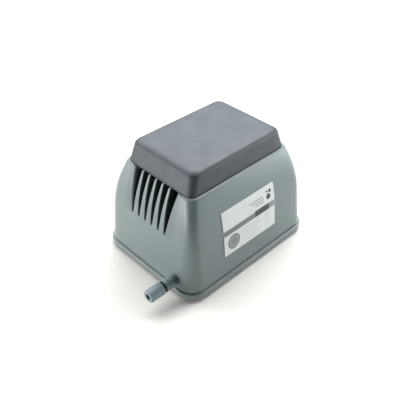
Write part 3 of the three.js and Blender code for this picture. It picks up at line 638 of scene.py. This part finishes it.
def housing_rings():
    """One skin from the well's floor, over the ledge, down the outside and up inside to the ceiling."""
    rings = []

    def add(half, radius, z, depth=0.0, spread=0.0, inner=False):
        if inner:
            side = inner_side(-half[0], half[1] - radius, z)
        else:
            side = louvre_side(-half[0], half[1] - radius, z, depth, spread)
        rings.append(rounded_ring(half, radius, z, 14, (16, 10), side))

    for inward, rise in round_steps(WELL_BEND, (90, 60, 30, 0)):
        half = (WELL_HALF[0] - inward, WELL_HALF[1] - inward)
        add(half, WELL_RADIUS - inward, WELL_FLOOR + rise)
    for z in (122, 128, 134):
        add(WELL_HALF, WELL_RADIUS, z)
    for outward, drop in round_steps(WELL_EDGE, (0, 30, 60, 90)):
        half = (WELL_HALF[0] + outward, WELL_HALF[1] + outward)
        add(half, WELL_RADIUS + outward, HOUSING_TOP - drop)
    lean = math.asin(math.sin(DRAFT) + (HOUSING_TOP - SHOULDER_HEIGHT) / SHOULDER_RADIUS)
    tangent = TOP_EDGE * math.tan((math.pi / 2 - lean) / 2)
    ledge_inset = inset(HOUSING_TOP) + tangent
    ledge = (HOUSING_HALF[0] - ledge_inset, HOUSING_HALF[1] - ledge_inset)
    for share in (0.35, 0.66):
        half = [lerp(w + WELL_EDGE, e, share) for w, e in zip(WELL_HALF, ledge)]
        radius = lerp(WELL_RADIUS + WELL_EDGE, CORNER_HIGH - tangent, share)
        add(half, radius, HOUSING_TOP, max(0.0, half[0] + LOUVRE_BACK))
    for step in range(6):
        angle = lerp(math.pi / 2, lean, step / 5)
        inward = ledge_inset - TOP_EDGE * math.cos(angle)
        z = HOUSING_TOP - TOP_EDGE * (1 - math.sin(angle))
        half = (HOUSING_HALF[0] - inward, HOUSING_HALF[1] - inward)
        add(half, CORNER_HIGH - tangent * (1 - step / 5), z, half[0] + LOUVRE_BACK)
    heights = [137 - 2.5 * i for i in range(21)] + [84, 82, 80, 79, 78.4, 78, 77, 74, 70]
    heights += [65 - 5 * i for i in range(11)] + [12, 10]
    for z in heights:
        half = wall_half(z, 0)
        depth = max(0.0, louvre_floor(z) + half[0]) if z > LOUVRE_TIP else 0.0
        add(half, wall_radius(z, 0), z, depth, 1 - smooth(z, 15, 72))
    for z, inward in ((HOUSING_BOTTOM + 0.15, 0.05), (HOUSING_BOTTOM, 0.3)):
        add(wall_half(z, inward), wall_radius(z, inward), z, 0.0, 1.0)
    for z in (HOUSING_BOTTOM, 30, 50, 70, LOUVRE_TIP - 5.1, LOUVRE_TIP - 4.9, 85, 95, 105, CAVITY_TOP):
        add(wall_half(z, WALL), wall_radius(z, WALL), z, inner=True)
    return rings


def housing_cuts():
    """Windows from the louvres to the well, ports in its floor, the outlet and the cable hole."""
    half, low, high = WINDOW
    shapes = []
    for middle in LOUVRE_MIDDLES:
        shapes.append(block(LOUVRE_BACK - 1.2, -WELL_HALF[0] + 1, middle - half, middle + half, low, high))
    for x in WELL_PORTS_X:
        shapes.append(block(x - 8, x + 8, -30, 30, CAVITY_TOP - 1, WELL_FLOOR + 1))
    shapes.append(prism_x(circle(OUTLET, OUTLET_HOLE), -130, -100))
    shapes.append(prism_x(circle(GLAND, 7), 100, 130))
    return join_shapes(*shapes)


def mark_recess(made, value):
    """Keeps value(x, y, z), from 0 outside to 1 deep in a recess, as the mesh's "recess" attribute, which
    says where shade is painted.
    """
    marks = made.data.attributes.new("recess", "FLOAT", "POINT")
    marks.data.foreach_set("value", [value(*(vert.co - ORIGIN) / MM) for vert in made.data.vertices])


# How much painted shade the louvre slots and their end ramps get: more with depth, less near the slots'
# tips.
def louvre_recess(x, y, z):
    if z <= LOUVRE_TIP or x > 0:
        return 0.0
    depth = x - inset(min(z, HOUSING_TOP)) + HOUSING_HALF[0]
    half = lerp(*LOUVRE_HALF, (z - LOUVRE_TIP) / (HOUSING_TOP + 1 - LOUVRE_TIP)) + 0.1
    on_ramp = LOUVRE_MIDDLES[0] < abs(y) < LOUVRE_BLOCK and depth < LOUVRE_RAMP
    inside = min(abs(y - middle) for middle in LOUVRE_MIDDLES) < half
    if not (inside or on_ramp):
        return 0.0
    return smooth(depth, -1.0, 1.5 if inside else 3.0) * lerp(0.7, 1.0, smooth(z, LOUVRE_TIP, 96))


def make_housing():
    shell = link_mesh("housing_shell", *skin(housing_rings()))
    boolean(shell, housing_cuts())
    # painted shade in the louvre slots
    mark_recess(shell, louvre_recess)
    finish_piece(shell, "housing", "housing_plastic", ["upper_housing"])
    foot = HOUSING_BOTTOM + 0.1
    boss = [(2.1, foot), (POST_RADIUS, foot), (5.2, 35), (0.3, 35), (0.3, 31), (2.1, 31)]
    for name, sx, sy in CORNERS:
        at = (sx * FOOT_AT[0], sy * FOOT_AT[1])
        make_piece(f"screw_boss_{name}", turned(boss, "Z", at, 32), "housing", "housing_plastic")


def make_tray():
    def rim_ring(inward, z):
        half = (RIM_HALF[0] - inward, RIM_HALF[1] - inward)
        return rounded_ring(half, RIM_RADIUS - inward, z, 20)

    def tongue_ring(inward, z):
        return rounded_ring(wall_half(HOUSING_BOTTOM, inward), wall_radius(HOUSING_BOTTOM, inward), z, 20)

    rings = [rim_ring(inward, rise) for rise, inward in round_steps(0.9, range(0, 91, 15))]
    rings += [rim_ring(inward, RIM_TOP - drop) for inward, drop in round_steps(1.3, range(0, 91, 15))]
    rings += [tongue_ring(WALL + 1, z) for z in (RIM_TOP, TONGUE_TOP)]
    rings += [tongue_ring(WALL + 3, z) for z in (TONGUE_TOP, TRAY_FLOOR)]
    tray = link_mesh("tray_shell", *skin(rings))
    spots = [(sx * FOOT_AT[0], sy * FOOT_AT[1]) for _, sx, sy in CORNERS]
    holes = [prism_z(circle(at, SCREW_HOLE, 32), -1, TRAY_FLOOR + 1) for at in spots]
    boolean(tray, join_shapes(*holes))
    finish_piece(tray, "housing", "housing_plastic", ["base_tray"])
    post = [(SCREW_HOLE, TRAY_FLOOR), (POST_RADIUS, TRAY_FLOOR), (POST_RADIUS, RIM_TOP + 1),
            (SCREW_HOLE, RIM_TOP + 1)]
    for (name, _, _), at in zip(CORNERS, spots):
        make_piece(f"tray_post_{name}", turned(post, "Z", at, 32), "housing", "housing_plastic")


def make_cover():
    cover = link_mesh("cover_shell", *skin(cover_rings()))
    for sx in (-1, 1):
        for sy in (-1, 1):
            x, y = sx * 45, sy * (WELL_HALF[1] - 1.6)
            tab = soft_block((x - 8, y - 1, HOUSING_TOP - 6), (x + 8, y + 1, HOUSING_TOP + 16), 0.5)
            wall = sy * (COVER_LOW[1] - 3.2)
            bridge = block(x - 1, x + 1, min(y, wall), max(y, wall), HOUSING_TOP + 1, HOUSING_TOP + 15)
            boolean(cover, tab, "UNION")
            boolean(cover, bridge, "UNION")
    finish_piece(cover, "filter_cover", "cover_plastic", ["filter_cover"])


def cover_rings():
    """One skin from the ceiling, down inside, round the bottom edge, up the outside and over the top."""
    def half_at(z, inward):
        share = (z - COVER_BOTTOM) / (COVER_TOP - COVER_BOTTOM)
        return [lerp(a, b, share) - inward for a, b in zip(COVER_LOW, COVER_HIGH)]

    rings = []
    for z, narrower in ((COVER_TOP - COVER_WALL, 1.2), (160, 0), (150, 0), (COVER_BOTTOM, 0)):
        rings.append(rounded_ring(half_at(z, COVER_WALL + narrower), 7.5, z))
    for rise, inward in round_steps(0.6, range(0, 91, 30)):
        half = half_at(COVER_BOTTOM, inward)
        rings.append(rounded_ring(half, COVER_CORNER - inward, COVER_BOTTOM + rise))
    for z in (145, 150, 155, 160):
        rings.append(rounded_ring(half_at(z, 0), COVER_CORNER, z))
    crown = 0.45
    for across, down in round_steps(1, range(0, 85, 8)):
        inward, z = COVER_EDGE[0] * across, COVER_TOP - crown - COVER_EDGE[1] * down
        rings.append(rounded_ring(half_at(z, inward), COVER_CORNER - 0.4 * inward, z))
    top = half_at(COVER_TOP, COVER_EDGE[0])
    for share in (0.96, 0.88, 0.7, 0.45, 0.2):
        half = [share * v for v in top]
        rings.append(rounded_ring(half, min(8, 0.5 * half[1]), COVER_TOP - crown * share ** 3))
    return rings


def make_filter():
    """A soft foam pad with rounded edges and uneven faces."""
    low, high = (-76, -47.5, WELL_FLOOR + 0.3), (76, 47.5, WELL_FLOOR + 10.5)
    middle = Vector((a + b) / 2 for a, b in zip(low, high))
    half = [(b - a) / 2 for a, b in zip(low, high)]
    corner = 3.0
    work = bmesh.new()
    bmesh.ops.create_cube(work, size=1)
    bmesh.ops.subdivide_edges(work, edges=work.edges[:], cuts=39, use_grid_fill=True)
    for vert in work.verts:
        spot = Vector(2 * vert.co[k] * half[k] for k in range(3))
        core = Vector(max(corner - half[k], min(half[k] - corner, spot[k])) for k in range(3))
        grown = core + (spot - core).normalized() * corner
        share = 1 - min(1.0, max(abs(grown.x) / half[0], abs(grown.y) / half[1]))
        pull = 0.35 + 0.3 * noise.noise(grown * 0.35) - 0.25 * min(1.0, share * 6)
        grown.z *= 1 - pull / half[2]
        if abs(grown.x) > half[0] - 4:
            grown.x -= math.copysign(0.25 + 0.2 * noise.noise(grown * 0.5), grown.x)
        vert.co = middle + grown
    pad = make_piece("foam_filter", read_shape(work), "air_filter", "filter_foam", ["air_filter"], sharp=60)


# ---- Label ----
def film(low, high, span, front, back, rows=12, columns=6):
    """A thin patch on the -Y wall between two heights. span(z) gives its two ends in X."""
    heights = [lerp(low, high, 0.5 - 0.5 * math.cos(math.pi * i / rows)) for i in range(rows + 1)]
    points, faces = [], []
    for lift in (front, back):
        for z in heights:
            start, end = span(z)
            y = inset(z) - HOUSING_HALF[1] - lift
            points += [(lerp(start, end, k / columns), y, z) for k in range(columns + 1)]
    width, layer = columns + 1, (rows + 1) * (columns + 1)
    for i in range(rows):
        for k in range(columns):
            corner = [i * width + k, i * width + k + 1, (i + 1) * width + k + 1, (i + 1) * width + k]
            faces += [corner, [layer + c for c in reversed(corner)]]
    border = list(range(columns)) + [i * width + columns for i in range(rows)]
    border += [rows * width + k for k in range(columns, 0, -1)] + [i * width for i in range(rows, 0, -1)]
    for here, there in zip(border, border[1:] + border[:1]):
        faces.append([there, here, layer + here, layer + there])
    return points, faces


def rectangle_span(start, end, low, high, corner):
    def span(z):
        near = min(z - low, high - z)
        cut = 0.0 if near >= corner else corner - math.sqrt(max(0.0, corner ** 2 - (corner - near) ** 2))
        return start + cut, end - cut
    return span


def disc_span(x, z0, radius):
    def span(z):
        reach = math.sqrt(max(1e-4, radius ** 2 - (z - z0) ** 2))
        return x - reach, x + reach
    return span


def make_label():
    front = 0.75
    ink_back, ink_front = front - 0.02, front + 0.04
    plate_span = rectangle_span(*LABEL_ENDS, LABEL_LOW, LABEL_HIGH, 1.5)
    plate = film(LABEL_LOW, LABEL_HIGH, plate_span, front, 0.02, 32, 12)
    make_piece("label_plate", plate, "housing", "label_film", ["rating_label"])
    middle = sum(LABEL_ENDS) / 2

    def ink(name, low, high, start, end, color, corner=0.2):
        span = rectangle_span(middle + start, middle + end, low, high, corner)
        shape = film(low, high, span, ink_front, ink_back)
        make_piece(f"label_{name}", shape, "housing", "label_film", look=INKS[color])

    def dot(name, x, z, radius, color, lift=0.0):
        span = disc_span(middle + x, z, radius)
        shape = film(z - radius, z + radius, span, ink_front + lift, ink_back, 20)
        make_piece(f"label_{name}", shape, "housing", "label_film", look=INKS[color])

    ink("band_left", 71.5, 79.5, -49.6, 9.8, "band")
    ink("band_middle", 71.5, 81, 10, 38, "dark")
    ink("band_right", 71.5, 81, 38.2, 49.6, "slate")
    dot("disc", -32, 56.5, 11.5, "disc")
    dot("disc_ring", -32, 56.5, 8, "ring", 0.03)
    dot("disc_middle", -32, 56.5, 6.8, "disc", 0.06)
    for i, (x, z, radius) in enumerate(((38, 91, 4.2), (41.5, 98.5, 2.6), (35.5, 99.5, 1.7))):
        dot(f"bubble_{i + 1}", x, z, radius, "dark")
    for i, (z, start, end) in enumerate(((95.5, 0, 27), (91.5, 6, 29), (87.5, 12, 29))):
        ink(f"heading_bar_{i + 1}", z - 0.7, z + 0.7, start, end, "grey", 0.5)
    for i in range(6):
        z = 65.5 - 4 * i
        ink(f"fine_bar_{i + 1}", z - 0.45, z + 0.45, -14, 18 + 6 * math.sin(2.1 * i), "pale", 0.3)
        ink(f"fine_value_{i + 1}", z - 0.45, z + 0.45, 28, 38 + 3 * math.cos(1.7 * i), "pale", 0.3)


# ---- Outlet, gland, feet ----
def outlet_recess(x, y, z):
    """1 in the bore and in the groove behind the hose tail, where shade is painted."""
    radius = math.hypot(y - OUTLET[0], z - OUTLET[1])
    in_groove = -139 < x < -135 and radius < 8.1
    return 1.0 if in_groove or (x > -160 and radius < 4.5) else 0.0


def make_outlet():
    nozzle = [(4.3, -161, 0.5), (7.8, -161, 0.5), (9, -159.4, 0.8), (9, -138.8, 0.4), (6.6, -138.8, 0.2),
              (6.6, -135.2, 0.2), (8.4, -135.2, 0.4), (8.4, -129, 0.3), (6, -129), (6, -106.4), (7, -106.4),
              (7, -98), (4.3, -98)]
    hose_tail = make_piece("nozzle_tube", turned(nozzle, "X", OUTLET, 64), "housing", "nozzle_plastic",
                           ["outlet_nozzle"])
    # painted shade in the nozzle's groove and bore
    mark_recess(hose_tail, outlet_recess)
    ring = [(6.3, -128.7), (7.8, -128.7, 0.3), (8.2, -128.1, 0.3), (8.2, -121.5, 0.6), (6.3, -121.5)]
    make_piece("lock_ring", turned(ring, "X", OUTLET, 64), "housing", "dark_plastic", ["outlet_lock_ring"],
               LOOKS["nozzle_plastic"])
    seal = [(6.3, -121.2), (7, -121.2, 0.3), (7, -109.8, 0.3), (9.5, -109.8, 0.5), (9.5, -106.8, 0.5),
            (6.3, -106.8)]
    make_piece("outlet_seal", turned(seal, "X", OUTLET, 64), "housing", "black_rubber", ["outlet_grommet"],
               LOOKS["grey_rubber"])
    tank_end = UNIT_X - 78
    stub_y, stub_z = -50, 25.5
    path = [(x, *OUTLET) for x in (-106, -102, -98)]
    path.append(((tank_end - 106) / 2, (OUTLET[0] + stub_y) / 2, (OUTLET[1] + stub_z) / 2))
    path += [(x, stub_y, stub_z) for x in (tank_end - 9, tank_end - 5, tank_end - 1)]
    hose = tube(spline(path, 12), 9.2, 40, bore=7.6)
    make_piece("tank_hose", hose, "housing", "black_rubber", ["outlet_hose"])


def make_gland():
    body = [(3.5, 104.5), (9, 104.5), (9, 109.6), (6.6, 109.6), (6.6, 116.3), (10, 116.3, 0.5),
            (10, 119, 0.5), (7, 121, 0.5), (5.2, 129, 0.7), (3.5, 129, 0.5)]
    make_piece("gland_body", turned(body, "X", GLAND, 48), "housing", "dark_plastic", ["cable_gland"])


def make_feet():
    foot = [(4.6, -FOOT_HEIGHT), (10.5, -FOOT_HEIGHT, 0.4), (11.3, 0.8 - FOOT_HEIGHT, 0.5), (12, -0.3, 0.3),
            (4.6, -0.3)]
    mount = [(0.05, 3.3), (8, 3.3, 0.6), (8, 5.8, 0.6), (6, 9.2, 2.5), (8, 12.5, 0.6), (8, 15, 0.6),
             (0.05, 15)]
    for name, sx, sy in CORNERS:
        pad = turned(foot, "Z", (sx * FOOT_AT[0], sy * FOOT_AT[1]), 48)
        make_piece(f"foot_pad_{name}", pad, "housing", "black_rubber", [f"rubber_foot_{name}"])
        isolator = turned(mount, "Z", (UNIT_X + sx * 60, sy * 45), 40)
        make_piece(f"isolator_{name}", isolator, "housing", "black_rubber", [f"vibration_mount_{name}"])


# ---- Pieces inside ----
def end_piece(side, profile, radius=0.3):
    """A round piece about the rod. profile runs out from the unit's middle, towards one side."""
    return turned([(p[0], UNIT_X + side * p[1], *p[2:]) for p in profile], "X", (0, ROD_Z), 48, radius)


def make_armature():
    inner = [(ROD_BORE, 38.2), (PLATE_RADIUS - 1, 38.2), (PLATE_RADIUS, 39.2), (PLATE_RADIUS, 40.9),
             (ROD_BORE, 40.9)]
    outer = [(ROD_BORE, 43.1), (PLATE_RADIUS, 43.1), (PLATE_RADIUS, 44.6), (PLATE_RADIUS - 1, 45.6),
             (ROD_BORE, 45.6)]
    ring = [(25.5, 41.3), (CLAMP_RADIUS, 41.3), (CLAMP_RADIUS, 43.7), (25.5, 43.7)]
    for place, side in SIDES:
        for name, profile in (("inner_plate", inner), ("outer_plate", outer)):
            disc = end_piece(side, profile)
            make_piece(f"{name}_disc_{place}", disc, "armature", "aluminium", [f"{name}_{place}"])
        band = end_piece(side, ring)
        make_piece(f"clamp_band_{place}", band, "housing", "aluminium", [f"clamp_ring_{place}"])


# The diaphragms' rolled fold, as (radius, distance from the unit's middle), from its inner end outwards.
FOLD_FRONT = [(18.5, 42.8), (20.2, 43.8), (22, 45.6), (23.8, 46.2)]
FOLD_BACK = [(19, 41.2), (21, 42), (22.6, 43.8), (24.2, 44)]


def make_diaphragms():
    """The centre moves with the rod and the rim stays clamped. The rolled fold between them is cut into
    sectors."""
    sectors, steps = 16, 4
    fold_in, fold_out = 18.4, 24.4
    centre = [(ROD_BORE, 41.2), (ROD_BORE, 42.8), (fold_in, 42.8), (fold_in, 41.2)]
    rim = [(fold_out, 44), (fold_out, 46.2), (CLAMP_RADIUS, 46.2), (CLAMP_RADIUS, 44)]
    front = spline([(r, 0, x) for r, x in FOLD_FRONT], 5)
    back = spline([(r, 0, x) for r, x in FOLD_BACK], 5)
    outline = [(p.x, p.z) for p in front] + [(p.x, p.z) for p in reversed(back)]
    for place, side in SIDES:
        node = f"diaphragm_{place}"
        make_piece(f"{node}_centre", end_piece(side, centre, 0), "armature", "black_rubber", [node])
        make_piece(f"{node}_rim", end_piece(side, rim, 0), "housing", "black_rubber", [node])
        for sector in range(sectors):
            angles = [2 * math.pi * (sector + step / steps) / sectors for step in range(steps + 1)]
            rings = [[(UNIT_X + side * h, r * math.cos(a), ROD_Z + r * math.sin(a)) for r, h in outline]
                     for a in angles]
            fold = link_mesh(f"{node}_fold_{sector + 1}", *skin(rings))
            fold.data.shade_smooth()
            fold.data.materials.append(LOOKS["black_rubber"])
            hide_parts(node)
            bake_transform(fold)


def make_windings():
    """Each coil: a wound core, and the outermost layer of turns on it. Then the coil's lead."""
    turns, wire = 14, 0.62
    near, far = 21.0, 38.5

    def outline(half, radius, side_steps):
        """(x, z) points round the bobbin."""
        return [(UNIT_X + x, ROD_Z + z) for x, z, _ in rounded_ring(half, radius, 0, 6, side_steps)]

    for place, side in (("front", -1), ("rear", 1)):
        shapes = []
        for turn in range(turns):
            y = side * lerp(near + wire, far - wire, turn / (turns - 1))
            path = [Vector((x, y, z)) for x, z in outline(COIL_HALF, COIL_CORNER, (6, 8))]
            shapes.append(tube(path, wire, 8, loop=True))
        low, high = sorted((side * near, side * far))
        outer, inner = outline(COIL_HALF, COIL_CORNER, (2, 2)), outline(BOBBIN_HALF, 0.5, (2, 2))
        ends = ((outer, low), (outer, high), (inner, high), (inner, low))
        shapes.append(skin([[(x, y, z) for x, z in ring] for ring, y in ends], loop=True))
        coil = join_shapes(*shapes)
        make_piece(f"winding_{place}", coil, "housing", "copper_wire", [f"coil_winding_{place}"])
        x, y = 93.5, GLAND[0] - 29 + side * 8
        path = [(x, y, 22.4), (x, y, 29), (88, side * 40, 44), (86, side * 58, 60), (52, side * 64, 88),
                (UNIT_X + 12, side * 58, 98), (UNIT_X + 6, side * 46, 99), (UNIT_X + 6, side * 41, 99)]
        lead = tube(spline(path, 8), 1.2, 14)
        make_piece(f"lead_{place}", lead, "housing", "lead_insulation", [f"coil_lead_{place}"])


def make_bushes():
    low, high = 43.4, 48.7
    profile = [(4.5, low), (8, low, 0.5), (7, (low + high) / 2, 1.5), (8, high, 0.5), (4.5, high)]
    for place, side in SIDES:
        bush = turned(profile, "Z", (UNIT_X + side * 68.5, 18), 40)
        make_piece(f"bush_{place}", bush, "housing", "black_rubber", [f"head_bush_{place}"])


def dress_cad_nodes():
    """CAD nodes whose shape is right keep it, with their edges softened and a procedural material."""
    slot_of = {row["node"]: row["material_slot"] for row in frame["record"]["subparts"]}
    special = {"housing_gasket": "grey_rubber"}
    for name, node in frame["nodes"].items():
        if node.hide_render:
            continue
        node.data.materials.clear()
        node.data.materials.append(LOOKS[special.get(name, slot_of[name])])
        soften = node.modifiers.new("soften", "BEVEL")
        soften.width, soften.segments = 0.3 * MM, 2
        soften.limit_method, soften.angle_limit = "ANGLE", math.radians(40)
        soften.harden_normals = False


# ---- Stage ----
def make_floor():
    half = 4.0
    corners = [(half * x, half * y, 0) for x, y in ((-1, -1), (1, -1), (1, 1), (-1, 1))]
    mesh = bpy.data.meshes.new("floor")
    mesh.from_pydata(corners, [], [[0, 1, 2, 3]])
    floor = bpy.data.objects.new("floor", mesh)
    bpy.context.scene.collection.objects.link(floor)
    material, tree, shader, place = start_material("floor paper")
    tint = mix_colors(tree, noise_value(tree, place, 3, 2), (0.73, 0.72, 0.685, 1), (0.76, 0.75, 0.715, 1))
    tree.links.new(tint, shader.inputs["Base Color"])
    shader.inputs["Roughness"].default_value = 0.9
    mesh.materials.append(material)


def area_light(name, spot, size, power, color=(1, 1, 1)):
    """A softbox aimed at the pump, its long side level and square to the camera's view."""
    away = (Vector(spot) - Vector(LIGHTS_AIM)).normalized()
    level = Vector((math.cos(VIEW_AZIMUTH), math.sin(VIEW_AZIMUTH), 0))
    across = (level - away * level.dot(away)).normalized()
    data = bpy.data.lights.new(name, "AREA")
    data.shape, data.size, data.size_y = "RECTANGLE", size[0], size[1]
    data.energy, data.color = power, color
    lamp = bpy.data.objects.new(name, data)
    lamp.matrix_world = Matrix((across, away.cross(across), away)).transposed().to_4x4()
    lamp.location = spot
    lamp.visible_camera = False
    bpy.context.scene.collection.objects.link(lamp)


def make_lights():
    area_light("back_light", (0.85, 0.88, 1.0), (1.8, 0.9), 25, (0.9, 0.97, 1.0))
    area_light("top_light", (0.05, 0.72, 1.28), (2.4, 0.7), 33)
    area_light("right_light", (0.8, -0.1, 1.15), (0.6, 0.4), 14)
    area_light("left_light", (-1.15, 0.85, 0.35), (0.9, 0.7), 11)
    area_light("left_card", (-1.15, 0.2, 0.12), (0.8, 0.2), 7)
    area_light("right_card", (1.1, -0.8, 0.32), (0.9, 0.6), 18, (0.92, 0.97, 1.0))
    world = bpy.data.worlds.new("studio")
    world.use_nodes = True
    background = world.node_tree.nodes["Background"]
    background.inputs["Color"].default_value = (0.9, 0.95, 1.0, 1)
    background.inputs["Strength"].default_value = 0.02
    bpy.context.scene.world = world


def make_camera():
    """The photograph's angle: from the outlet and label corner, looking down."""
    level = math.cos(VIEW_ELEVATION)
    back = Vector((math.sin(VIEW_AZIMUTH) * level, -math.cos(VIEW_AZIMUTH) * level,
                   math.sin(VIEW_ELEVATION)))
    data = bpy.data.cameras.new("camera")
    data.lens, data.sensor_width = 52.13, 36
    data.shift_x, data.shift_y = -0.0185, -0.0387
    camera = bpy.data.objects.new("camera", data)
    camera.location = ORIGIN + Vector((0, 0, VIEW_HEIGHT)) + back * VIEW_DISTANCE
    camera.rotation_mode = "QUATERNION"
    camera.rotation_quaternion = (-back).to_track_quat("-Z", "Y")
    bpy.context.scene.collection.objects.link(camera)
    bpy.context.scene.camera = camera
    bpy.context.scene.view_settings.view_transform = "Standard"


make_camera()
make_housing()
make_tray()
make_cover()
make_filter()
make_label()
make_outlet()
make_gland()
make_feet()
make_armature()
make_diaphragms()
make_windings()
make_bushes()
dress_cad_nodes()
make_floor()
make_lights()
